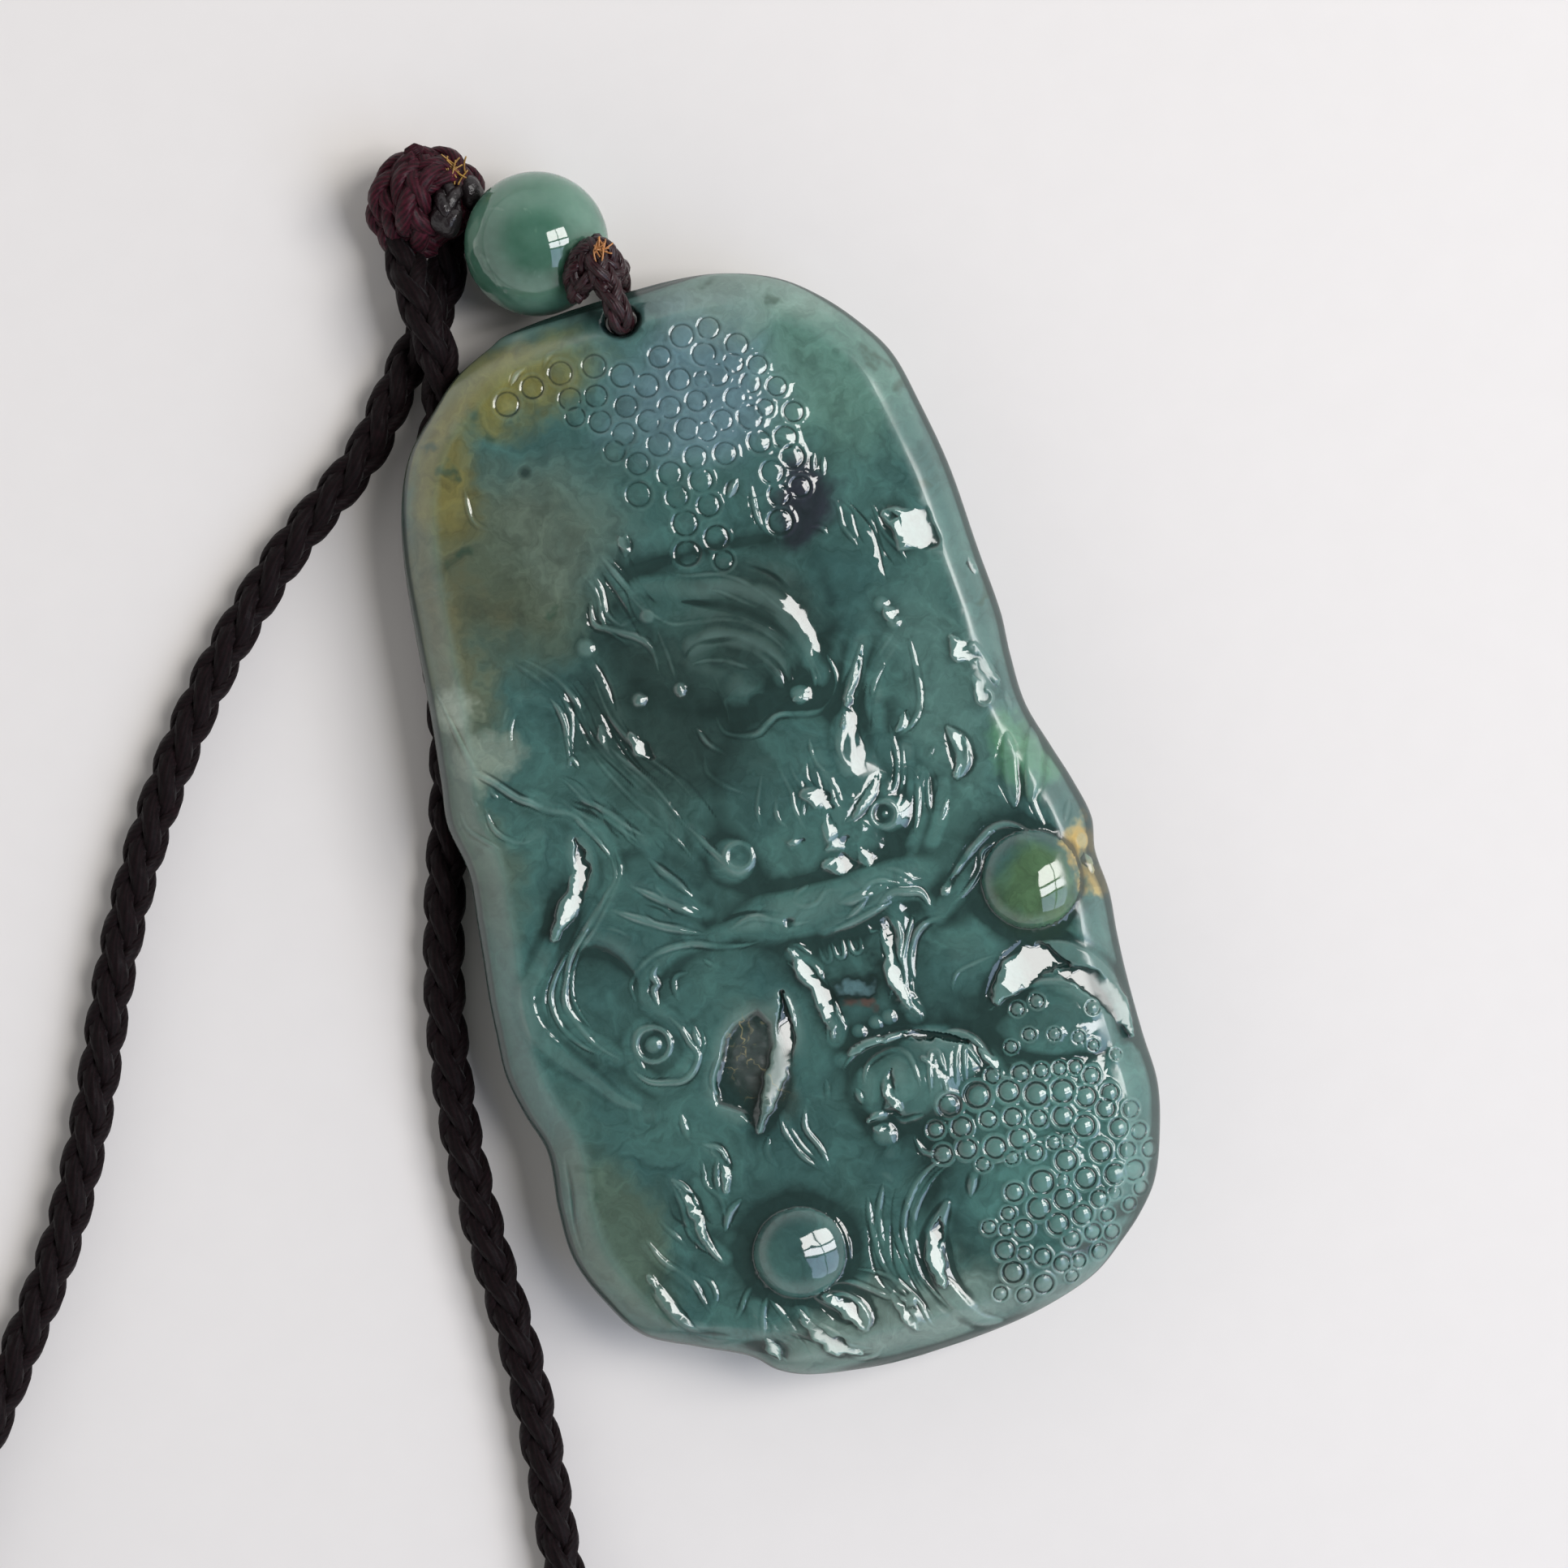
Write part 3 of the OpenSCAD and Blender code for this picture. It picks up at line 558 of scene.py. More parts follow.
def beadJade():
    # light green jadeite, polished all over: it glows through and mirrors the window
    material, tree = newMaterial("polished_jadeite_bead")
    place = addNode(tree, "ShaderNodeTexCoord").outputs["Object"]
    # clouds about 4 mm across and veins about 2 mm apart
    clouds = addNode(tree, "ShaderNodeTexNoise",
                     {"Vector": place, "Scale": 0.26 / mm, "Detail": 4, "Roughness": 0.55}).outputs["Fac"]
    veins = addNode(tree, "ShaderNodeTexNoise",
                    {"Vector": place, "Scale": 0.42 / mm, "Detail": 3, "Distortion": 1.2}).outputs["Fac"]
    along = addNode(tree, "ShaderNodeSeparateXYZ", {0: place}).outputs["Y"]
    low, high = bead["blend"]
    blend = addNode(tree, "ShaderNodeMapRange",
                    {"Value": along, "From Min": low * mm, "From Max": high * mm}).outputs["Result"]
    dark, light = bead["tones"]
    color = addNode(tree, "ShaderNodeMix", {0: blend, 6: linearColor(dark), 7: linearColor(light)},
                    data_type="RGBA").outputs[2]
    for pattern, low, high, most, tone in ((clouds, 0.35, 0.75, 0.35, "8fb3a2"),
                                           (veins, 0.62, 0.72, 0.25, "a8c4b4")):
        share = addNode(tree, "ShaderNodeMapRange", {"Value": pattern, "From Min": low, "From Max": high,
                                                     "To Max": most}).outputs["Result"]
        color = addNode(tree, "ShaderNodeMix", {0: share, 6: color, 7: linearColor(tone)},
                        data_type="RGBA").outputs[2]
    surface = addNode(tree, "ShaderNodeBsdfPrincipled",
                      {"Base Color": color, "Roughness": 0.04, "IOR": 1.66,
                       "Subsurface Weight": 1.0, "Subsurface Radius": (0.6, 1.0, 0.85),
                       "Subsurface Scale": 1.6 * mm}).outputs[0]
    finishMaterial(tree, surface)
    return material


def makeBead():
    hole, rounding = bead["holeDiameter"] / 2, bead["holeRounding"]
    # half of the outline, from the middle of the bore to the equator: bore, rounded mouth, ball
    mouth = math.sqrt(beadRadius ** 2 - (hole + rounding) ** 2)
    bore = [(hole, h) for h in np.linspace(0, mouth - rounding, 12)]
    turn = np.linspace(0, 1, 6)[1:-1]
    lip = [(hole + rounding * (1 - math.cos(math.pi / 2 * s)),
            mouth - rounding + rounding * math.sin(math.pi / 2 * s)) for s in turn]
    start = math.atan2(hole + rounding, mouth)
    ball = [(beadRadius * math.sin(a), beadRadius * math.cos(a))
            for a in np.linspace(start, math.pi / 2, bead["rows"] // 2)]
    half = bore[1:] + lip + ball
    profile = np.array(half + [(r, -h) for r, h in reversed(half[:-1])] + [(hole, 0)])
    side = unit(np.cross(boreAxis, [0, 0, 1]))
    up = np.cross(boreAxis, side)
    angles = turns(bead["segments"])
    points = (beadMiddle + profile[:, None, 1, None] * boreAxis
              + profile[:, None, 0, None] * (np.cos(angles)[None, :, None] * side
                                             + np.sin(angles)[None, :, None] * up)).reshape(-1, 3)
    shape = points, ringFaces(len(profile), bead["segments"], closed=True), None
    placed(meshPiece("jade_bead", shape, beadJade()), "bead_jade", "bead")


makeBead()
print("bead made")


# plaque: carved and polished jadeite, 8 to 9 mm thick with the relief

plaque = {
    "faceHeight": 7.0,
    "bulge": 0.5,
    "rimHeight": 5.0,
    "faceRoll": 2.1,  # width over which the rim rolls into the face, and into the back
    "backRoll": 9.5,
    "underRadius": 0.9,
    "carvingHeight": 2.0,
    "bareWidth": 0.4,
    "carvingFade": 1.6,
    "holeDiameter": 1.9,
    "holePlace": (0.85, 30.85),
    "holeProfile": [(-1, 1), (2.3, 0.25), (3.1, 0), (5.9, 0), (6.7, 0.25), (12, 2)],  # height, flare there
    "rows": 740,
    "columns": 420,
    "backColumns": 26,
    "crowding": {"rows": 0.25, "front": 0.2, "back": 0.8},  # how much closer the points lie at the edges
    "keptTriangles": 188000,
    "formShare": 0.72,  # how much of the plain solid's mounds is kept, so that they mirror no light
    "strokeShare": 0.07,  # how much of the plain solid's strokes is kept under the fine ones
    "fineWidth": 0.66,  # how narrow the cutter's lines are, against the strokes below
    "fineRise": 0.55,
    "bandWidth": 0.38,  # half width from which a stroke is a flat ribbon
    "bandRise": 0.6,  # ribbons stand lower than thin ridges
    "strokeTip": 0.3,  # width at the ends of a stroke, against its middle
    "knobRise": 0.55,
    "faceStep": 0.4,  # how far a long cut face may leave the height around it
    "faceProud": 0.05,  # how far it stands over that height
    "faceEdge": 0.22,  # share of its half width in which it meets the stone around it
    "faceRagged": 0.15,  # unevenness of their outlines
    "faceRipple": 0.008,  # chatter of the tool on the cut faces
    "lowerScaleRise": (0.15, 0.08, 0.12),  # heights of knob and ring, depth of the groove between them
    "upperScaleRise": (0.025, 0.03, 0.05),
    "pocketDepth": 0.3,
    "pocketRough": 0.03,
    "polish": 0.03,  # waviness left by hand polishing
    "waves": [(3.4, 1, 5), (1.6, 0.5, 6), (0.5, 0.25, 7)],  # size, share and seed of each
}

# outline from top to bottom: place along the length, left edge, right edge, in hundredths
outline = np.array([
    [100, 8, 8], [99.2, -28, 31], [97.4, -38, 44], [94.3, -50, 56], [89.6, -60, 66],
    [83.5, -71, 75], [75.7, -78, 83], [65, -83, 87], [52.6, -86, 90], [37, -89, 91],
    [24.7, -92, 92], [17, -94, 91], [7.7, -92, 91], [-1.5, -94, 95], [-7.7, -95.5, 98],
    [-15.5, -97.5, 100.5], [-21.6, -98.5, 98.5], [-29.4, -99.5, 99], [-37, -97.5, 97.5],
    [-45, -94, 96.5], [-55.5, -96, 96], [-65, -96, 96], [-74, -90.5, 92], [-82, -81.5, 86],
    [-87, -65.5, 78.5], [-91, -52, 70], [-95, -44.5, 59.5], [-97.4, -35.5, 47],
    [-99.2, -19, 29.5], [-100, 0, 0]])

# broad forms and hollows: middle x and y, reach x and y, rise, in hundredths
broadForms = [
    (12, 72, 48, 27, 50), (8, 38, 36, 17, 40), (17, 2, 30, 20, 42), (38, -4, 9, 5, 20), (-10, -4, 10, 5, 20),
    (16, -16, 36, 7, 35), (-46, -9, 24, 12, 25), (52, -33, 16, 8, 12), (26, -51, 25, 9, 45),
    (60, -72, 42, 28, 60), (72, -50, 25, 11, 45)]
hollows = [(17, -31.5, 13, 8, 80), (-23, -40, 13, 10, 45), (-62, -19, 12, 9, 25),
           (-15, -60, 26, 5, 30), (2, -77, 8, 12, 25)]
# pearls: the same, and how much their tops lean across and along
pearls = [(76, -23, 15.5, 8.9, 58, 0.15, 0.15), (-27, -75, 14.5, 8.2, 60, 0.38, 0)]

# raised strokes: half width, rise, points, in hundredths
broadStrokes = [
    (4.5, 40, [(-15, 48), (0, 45), (14, 43), (25, 38), (30, 30), (31, 23)]),
    (3.8, 30, [(-4, 35), (5, 35), (15, 32), (20, 27), (20, 22)]),
    (3.8, 35, [(-13, 42), (-18, 47), (-23, 54)]),
    (3.8, 35, [(-19, 39), (-27, 45), (-27, 53)]),
    (4.2, 45, [(47, 27), (39, 19), (32, 11), (32, 6)]),
    (4.2, 30, [(60, 27), (48, 20), (44, 11), (47, 2), (41, -1)]),
    (3.4, 40, [(50, 6), (48, -1), (43, -6)]),
    (3.4, 40, [(52, 1), (49, -6), (43, -11)]),
    (3.2, 35, [(58, -2), (55, -7), (50, -11)]),
    (5.4, 45, [(-56, 7), (-57, 2), (-64, -4), (-77, -12), (-84, -20), (-82, -28), (-70, -37),
               (-60, -43)]),
    (4, 40, [(-66, 17), (-55, 12), (-48, 6), (-49, -2), (-61, -9), (-71, -16), (-72, -24), (-64, -32)]),
    (3.8, 45, [(-9, -16), (-24, -16), (-40, -17), (-50, -22), (-46, -27), (-40, -32), (-43, -37),
               (-53, -39), (-59, -35), (-58, -30), (-53, -28)]),
    (3, 25, [(-69, 26), (-66, 32), (-59, 35), (-50, 32), (-49, 27), (-53, 21)]),
    (3, 25, [(-88, 17), (-85, 12), (-77, 10), (-66, 11)]),
    (4, 60, [(-1, -23), (3, -28), (5, -35), (4, -40)]),
    (4, 60, [(33, -22), (30, -29), (28, -35), (29, -40)]),
    (3, 35, [(10, -21), (23, -20), (34, -18), (42, -20), (44, -23)]),
    (4.2, 45, [(45, -24), (56, -20), (64, -15), (73, -13), (82, -16)]),
    (3, 40, [(3, -44), (19, -42), (35, -45), (46, -49), (50, -56)]),
    (3.6, 35, [(9, -48), (8, -56)]),
    (3.6, 35, [(19, -48), (16, -55)]),
    (3.6, 35, [(31, -47), (29, -55)]),
    (3.6, 35, [(42, -48), (42, -54)]),
    (4.2, 40, [(9, -57), (9, -62)]),
    (3.2, 40, [(53, -43), (66, -41), (80, -44), (90, -51), (92, -57)]),
    (3.2, 35, [(25, -66), (14, -70), (7, -77), (6, -83)]),
    (4.6, 35, [(21, -74), (14, -81), (14, -90), (23, -96)]),
    (3.2, 30, [(5, -67), (-1, -73), (-3, -79)]),
    (2.8, 25, [(-42, -72), (-35, -68), (-26, -66), (-16, -69), (-12, -74), (-14, -80)]),
    (4.2, 40, [(-26, -83), (-16, -87), (-13, -92)]),
    (3.2, 35, [(-32, -85), (-26, -91), (-12, -96)]),
    (3.2, 35, [(-45, -82), (-46, -88), (-42, -93)]),
    (2.8, 30, [(-19, -82), (-9, -84), (-2, -88)]),
    (4, 35, [(0, -88), (1, -93)]),
    (3.2, 40, [(-58, -56), (-55, -62), (-55, -67), (-50, -72)]),
    (2.8, 30, [(-45, -52), (-42, -56), (-45, -61)]),
    (3.2, 35, [(-72, -66), (-68, -70), (-61, -75)]),
    (3.2, 30, [(-75, -72), (-71, -78), (-64, -83)]),
    (3, 40, [(-9, -30), (-9, -36), (-17, -43), (-28, -51)]),
    (2.8, 25, [(-20, -50), (-18, -57), (-14, -62)]),
    (2.8, 25, [(-13, -51), (-12, -57), (-10, -62)]),
    (3.2, 25, [(-35, 40), (-32, 29), (-30, 20)]),
    (3.2, 25, [(-45, -2), (-34, -7), (-24, -12)]),
    (3.2, 25, [(-53, -6), (-40, -11), (-27, -15)]),
    (3.2, 30, [(-21, 4), (-17, -2), (-10, -6)]),
    (3.2, 25, [(-51, 17), (-40, 8), (-34, 1)]),
    (3.2, 25, [(-40, 22), (-29, 11), (-25, 3)]),
    (3.6, 30, [(85, 5), (85, -4), (83, -14)]),
    (3.6, 30, [(92, 2), (93, -6), (89, -14)]),
    (3.2, 20, [(78, 2), (76, -7)])]

# all that follows is in millimetres

# fine strokes: half width, rise (a cut where it is negative), points
fineStrokes = [
    # brow and eye
    (0.17, 0.11, [(-1.2, 16.1), (0, 15.3), (2, 14.8), (3.2, 14), (4.2, 12.8), (5.2, 11.3), (5.9, 10.8)]),
    (0.17, 0.11, [(-4.3, 17.8), (-3, 14.5), (-2.3, 13.6), (-1.4, 12.8), (0, 12.5), (1.5, 12.2),
                  (2.8, 11.5), (3.8, 10.5), (4.5, 9.3), (5, 8.2)]),
    (0.42, -0.4, [(-0.5, 13.9), (1, 13.25), (2.7, 12.4), (3.8, 11.4), (4.8, 10.2), (5.3, 9)]),
    (0.3, -0.25, [(3.5, 15), (5, 13.8), (6, 12)]),
    (0.36, -0.34, [(-1.3, 10.8), (-0.5, 11.3), (0.5, 11.2), (1.8, 10.9), (2.8, 10), (3.6, 9), (3.9, 8),
                   (3.8, 7.2), (3.3, 6.6)]),
    (0.22, 0.18, [(-1, 10.3), (0, 10.2), (1, 9.8), (1.9, 9.2), (2.6, 8.3), (2.9, 7.3)]),
    (0.18, 0.14, [(0, 9.4), (0.15, 8), (0.1, 6.3)]),
    (0.24, 0.2, [(-0.6, 7), (-0.4, 6), (0.4, 5.5), (1.4, 5.3), (2.2, 5.7), (3, 6), (4.5, 5.6), (5.5, 5.6),
                 (6.3, 6.2), (6.8, 7.2), (6.6, 8.6)]),
    (0.18, 0.16, [(4.6, 7.3), (4.6, 8.7)]),
    (0.18, 0.18, [(5.3, 10.6), (5.25, 9.5), (5.6, 8), (5.4, 6.9), (5, 6.8)]),
    (0.18, 0.18, [(5.5, 10.4), (5.6, 9.3), (5.9, 7.2)]),
    # upper lip
    (0.2, 0.16, [(0.3, -4.2), (0.9, -5), (1.8, -5.1), (2.6, -4.6), (3.4, -4.8)]),
    (0.2, 0.16, [(3.2, -5.5), (4.4, -5.3), (5.2, -4.9), (6, -5), (6.9, -5.5)]),
    (0.22, 0.16, [(-3.6, -5.2), (-2.2, -4.8), (-1, -5.2), (0, -5.8), (1.2, -6)]),
    (0.22, -0.16, [(-4, -4.6), (-2.6, -4.4), (-1.2, -4.7), (0.2, -5.3)]),
    (0.2, 0.14, [(6.2, -4.3), (7, -4.7), (7.6, -5.4)]),
    # hair at the upper left
    (0.19, 0.17, [(-5.1, 17.3), (-4.8, 15.9), (-4.9, 14.5), (-4.2, 13.5)]),
    (0.22, 0.18, [(-4.3, 17.9), (-3.6, 16.3), (-2.6, 14.2)]),
    (0.24, -0.2, [(-3.6, 17.4), (-2.9, 15.9), (-2.3, 14.6)]),
    (0.34, 0.25, [(-2.5, 18.6), (-2.9, 17.4)]),
    (0.26, -0.22, [(-2.7, 17.5), (-2.6, 15.6), (-2, 14.3)]),
    (0.24, 0.18, [(-4.4, 13.6), (-3.4, 13.8)]),
    (0.17, 0.13, [(-2.4, 13.2), (-2.3, 12), (-2.2, 10.8), (-2.2, 9.3)]),
    (0.28, 0.14, [(-7, 8.5), (-7, 6.8)]),
    (0.28, 0.14, [(-5.4, 7.3), (-5.4, 5.9)]),
    (0.2, 0.16, [(-1.9, 6.8), (-1.5, 5.6), (-0.6, 4.6)]),
    (0.2, 0.16, [(-1.9, 5), (-2, 4), (-1.3, 3), (-0.3, 2.2)]),
    (0.26, 0.22, [(-5.6, 15.5), (-5.8, 14.2), (-5, 13.6), (-3.6, 12.7), (-3, 11.8), (-3, 10.5)]),
    (0.22, -0.18, [(-6.5, 12.5), (-6.2, 11.5), (-6, 10.3), (-6, 9)]),
    # nose and bridge
    (0.18, 0.14, [(1.4, 1.5), (1.1, 0.3), (1.6, -0.5)]),
    (0.18, 0.14, [(1, 3), (0.2, 1.3), (0, 0)]),
    (0.18, 0.14, [(2, 3.3), (2.3, 1.5), (2.2, 0.5), (2.5, -1)]),
    (0.18, 0.14, [(4.2, 4.1), (4.1, 3)]),
    (0.18, 0.14, [(4.2, 2.2), (4.8, 1.2), (4.9, 0)]),
    (0.22, 0.18, [(-4, 1.3), (-3.3, 0), (-2.6, -1.2), (-1.8, -2)]),
    (0.32, 0.28, [(7.5, 1), (6.6, -0.1), (5.5, -0.9), (4.9, -1.1)]),
    (0.18, 0.15, [(0.6, -4.8), (0.8, -4.3), (1.7, -4)]),
    # horn and right locks
    (0.36, 0.34, [(8.7, 8.5), (8, 7.2), (7, 5.8), (6.2, 4.2), (5.7, 3.1), (5.9, 2)]),
    (0.22, 0.17, [(8.9, 3.5), (8.8, 1.5), (8.2, 0), (7.5, -0.2)]),
    (0.22, 0.18, [(9.2, 1.8), (8.7, 0.2), (7.8, -1.3)]),
    (0.22, 0.18, [(9.6, 0.4), (9.2, -1.2), (8.5, -2.9)]),
    (0.22, 0.18, [(10.3, 0.3), (9.9, -1), (9.7, -2.2)]),
    (0.19, 0.16, [(10.9, -1.5), (10.1, -2.7)]),
    (0.17, 0.13, [(8.8, 7), (10.2, 8.2), (11, 8.8)]),
    (0.17, 0.13, [(8.6, 6), (10, 7.3), (10.9, 8)]),
    (0.22, 0.2, [(11.5, 8.2), (11.4, 6.5), (11.1, 4.5), (10.3, 3.3), (9, 2.7)]),
    (0.22, 0.22, [(9, 3.1), (9.9, 3.5), (10.1, 4.2)]),
    (0.4, 0.28, [(12.1, 2.4), (12.5, 1.3), (12.4, 0.2), (11.8, -0.5)]),
    (0.17, 0.13, [(10.4, 1), (11.3, 1.8)]),
    (0.22, 0.2, [(14, 7.4), (14.4, 6.4), (15, 6.6), (15.5, 5.3), (15.9, 4.5)]),
    (0.22, 0.16, [(16, 3.5), (16, 2.3)]),
    # clouds at the left
    (0.16, 0.11, [(-12.6, 10.1), (-12.2, 10.8), (-11.9, 11)]),
    (0.17, 0.13, [(-12.6, 8.4), (-12.3, 9.6), (-11.8, 10.4), (-11.4, 10.5)]),
    (0.22, 0.22, [(-9.5, 10.8), (-9.2, 10), (-9.1, 9), (-9.3, 7.9), (-9.5, 7.1)]),
    (0.17, 0.17, [(-8.9, 11), (-8.6, 9.5), (-9, 8.2), (-9.3, 7.2)]),
    (0.17, 0.16, [(-9.7, 6.6), (-9.3, 7.1), (-9.1, 6.4)]),
    (0.22, 0.16, [(-10.9, 13.4), (-9.8, 12), (-9.2, 11)]),
    (0.22, 0.16, [(-10.3, 13.4), (-9, 12), (-8.2, 10.5), (-7.9, 9)]),
    (0.26, 0.24, [(-15.8, 13), (-15.3, 10), (-15, 8.2), (-14, 7), (-13, 5.8), (-12.3, 5.3), (-11.5, 4.6),
                  (-10.3, 4), (-9.8, 3.2), (-9.2, 2), (-8.8, 0.8)]),
    (0.19, 0.17, [(-16.5, 6), (-16.4, 5), (-15.6, 4), (-14.8, 3.2)]),
    (0.19, 0.17, [(-15, 5.8), (-14.9, 4.6), (-14.4, 3.8), (-13.5, 3.2), (-12.6, 3.3)]),
    (0.17, 0.15, [(-15.6, 6.5), (-15.4, 6)]),
    (0.17, 0.15, [(-14.4, 6.7), (-14.1, 6.1)]),
    (0.2, 0.13, [(-10.7, 24), (-10.8, 22), (-9.8, 21)]),
    # left whisker and the hair beside it
    (0.24, 0.24, [(-8.8, 0.9), (-8.9, -0.3), (-9.8, -1.2), (-11.2, -2.5), (-12.6, -3.8), (-13.3, -5),
                  (-13.8, -6.3), (-13.7, -7.3), (-12.8, -9.3), (-11.7, -10.5)]),
    (0.17, 0.15, [(-8.4, 1.3), (-8.5, 0), (-9.2, -1), (-10.9, -2.8), (-12, -3.6), (-12.8, -4.6),
                  (-13.3, -6), (-13.2, -7.2), (-12.8, -8.3)]),
    (0.48, 0.14, [(-10.4, 2.2), (-10.5, 1), (-11, 0), (-12, -1), (-13, -2.3), (-13.8, -3), (-15, -4.3),
                  (-15.7, -5), (-16.1, -6.2), (-16, -7.2), (-15.5, -8.6), (-14.5, -10), (-13.5, -11.3),
                  (-12.5, -12.7), (-11.5, -13.5)]),
    (0.19, 0.17, [(-12.6, -3.5), (-13.7, -4.5), (-14.5, -5.7), (-14.6, -7), (-14.2, -8.2),
                  (-13.3, -9.4), (-12.4, -10)]),
    (0.2, 0.16, [(-9.4, 4.4), (-8.3, 3), (-7, 1.3)]),
    (0.2, 0.16, [(-10, 5.2), (-8.4, 3.6), (-7.3, 2.2), (-6.5, 1.5)]),
    (0.27, 0.22, [(-8.2, -1), (-6.5, -2.5), (-4.8, -4)]),
    (0.27, 0.22, [(-9.8, -1.9), (-7.4, -3.6), (-5, -4.9)]),
    (0.27, 0.22, [(-6.7, 0.2), (-6.3, -0.6), (-5.6, -1.6), (-5, -2.6)]),
    (0.17, 0.13, [(-6, 1.2), (-5.7, 0.5)]),
    (0.17, 0.13, [(-10, -1.9), (-9.5, -1.7), (-8.6, -2)]),
    (0.17, 0.13, [(-11, -2.8), (-10.3, -2.9), (-9.5, -3.4), (-9, -4)]),
    # scroll
    (0.24, 0.22, [(-9.9, -7.5), (-9.9, -6.6), (-9.3, -5.9), (-8.3, -5.3), (-7, -5.1), (-5.6, -5.3),
                  (-4.5, -5.8), (-3, -6.2), (-2, -6.3)]),
    (0.24, 0.22, [(-8.7, -8.2), (-8.7, -7.2), (-8.4, -6.9), (-8.5, -6.3), (-8, -5.8)]),
    (0.22, 0.2, [(-7.4, -8.3), (-7.5, -7.4), (-7.2, -6.8), (-6.5, -6.8)]),
    (0.17, 0.16, [(-5.4, -6.3), (-4.9, -6.9)]),
    (0.24, 0.22, [(-8.3, -8.9), (-7.8, -9.8), (-7.6, -10.6), (-7.3, -11.5), (-7.8, -12.3), (-8.5, -12.7),
                  (-9.3, -12.6), (-10.5, -12.2), (-11.3, -11.2)]),
    (0.27, 0.24, [(-7.1, -9.9), (-7.1, -11.3)]),
    (0.17, 0.15, [(-6.8, -10), (-6.8, -11), (-7.5, -12)]),
    (0.24, 0.24, [(-9.2, -9.1), (-10.2, -9.2), (-10.7, -9.9), (-10.7, -11), (-10.5, -11.5)]),
    # edges of the pocket
    (0.2, 0.2, [(-1.5, -9.6), (-1.4, -11), (-2, -12.5), (-3.3, -14), (-4.2, -15.2), (-5.3, -16.6)]),
    (0.22, 0.2, [(-5.9, -11.7), (-6.9, -13), (-6.9, -14), (-6.5, -14.3)]),
    # lips, fangs and teeth
    (0.27, 0.25, [(2.2, -6.9), (3.5, -6.8), (5, -6.5), (6, -6.3)]),
    (0.27, 0.25, [(5.2, -6.3), (6.2, -5.8), (7, -6), (7.8, -6.3), (8.1, -7.2)]),
    (0.22, 0.18, [(3.2, -6.5), (4.2, -6), (4.8, -5.7)]),
    (0.38, 0.22, [(3.1, -5.5), (5.1, -5.5)]),
    (0.22, 0.24, [(-0.8, -7.9), (-0.1, -9), (0.4, -10), (0.7, -11.2), (0.1, -13)]),
    (0.22, 0.22, [(0.5, -8), (0.8, -9.3), (1, -10.5), (1.3, -12.5)]),
    (0.19, 0.17, [(-0.2, -7), (0.2, -7.2), (0.7, -7.9)]),
    (0.22, 0.24, [(5, -7.6), (4.9, -8.8), (5.1, -9.6), (5, -10.5), (4.3, -11.6)]),
    (0.22, 0.22, [(7, -7.4), (6.4, -8.4), (5.7, -9.7), (5.4, -11), (5.2, -12), (5.7, -13.1)]),
    (0.27, 0.26, [(6, -7.4), (5.9, -8.5), (5.3, -10.2), (5.2, -12.3)]),
    (0.16, 0.16, [(1.2, -7.3), (1.25, -8.3), (1.5, -8.6), (1.75, -8.3), (1.8, -7.3)]),
    (0.16, 0.16, [(2, -7.3), (2.05, -8.3), (2.3, -8.6), (2.55, -8.3), (2.6, -7.3)]),
    (0.16, 0.16, [(2.95, -7.3), (3, -8.3), (3.3, -8.6), (3.6, -8.3), (3.7, -7.3)]),
    (0.16, 0.16, [(4.2, -7), (4.4, -7.6), (4.8, -7.6)]),
    (0.27, 0.24, [(8.8, -8), (7.5, -8.1), (6.6, -8.8), (6.1, -10), (6, -11)]),
    (0.17, 0.15, [(7.9, -12.4), (8.1, -11.8), (8.6, -11.3), (9.8, -11.1), (11, -11)]),
    # right whisker, pearl and flames
    (0.3, 0.27, [(9.2, -6.3), (10, -5.8), (11, -5), (12.5, -4.1), (13.4, -3.9), (14.2, -4.2), (15.2, -5.1)]),
    (0.19, 0.17, [(9.3, -7.5), (10.5, -6.9), (11.5, -6), (12, -5), (13.5, -4.7)]),
    (0.22, 0.2, [(16.1, -1), (15.6, -3), (15.8, -4.6)]),
    (0.22, 0.17, [(17.7, -3.7), (17.1, -4.8)]),
    (0.48, 0.28, [(17, 1), (16.3, -1), (15.5, -3)]),
    (0.42, 0.24, [(15.3, 1), (14.9, -1), (14.5, -3)]),
    # body, chin and claws
    (0.24, 0.22, [(9.7, -14), (11, -13.5), (12.5, -13.3), (14, -13.6), (15.5, -14.5), (16.7, -16),
                  (17.2, -18)]),
    (0.55, 0.36, [(10, -13.2), (11.8, -12), (14, -11.7), (15.6, -12.6), (16.9, -14.6), (17.5, -17)]),
    (0.27, 0.27, [(0.5, -14.8), (1.5, -14.1), (3, -13.9), (4.3, -13.8), (5.2, -14.2), (6.3, -14.6),
                  (7.5, -14.7), (8.4, -15.5), (8.8, -16.6), (9.1, -17.8), (9.8, -18.1)]),
    (0.19, 0.17, [(0.5, -14.2), (1.5, -13.8), (3, -13.4), (4.4, -13.3)]),
    (0.18, 0.18, [(7.1, -17.6), (7.7, -15.6), (8.4, -17.6)]),
    (0.15, 0.12, [(7.3, -16.9), (8.2, -16.9)]),
    (0.18, 0.16, [(6.5, -17.7), (7, -16), (7.4, -15.2)]),
    (0.2, 0.2, [(4.9, -17.8), (5.4, -15.8), (5.7, -15.3), (6.1, -15.6), (5.9, -17.6)]),
    (0.24, 0.22, [(3.5, -15.5), (2.8, -15.9), (2.5, -16.6), (2.6, -17.5)]),
    (0.16, 0.14, [(3.3, -16), (3, -16.8), (3.1, -17.3)]),
    (0.22, 0.2, [(1.4, -16), (2, -14.9), (3.5, -14.5), (4.4, -15.2), (4.5, -17)]),
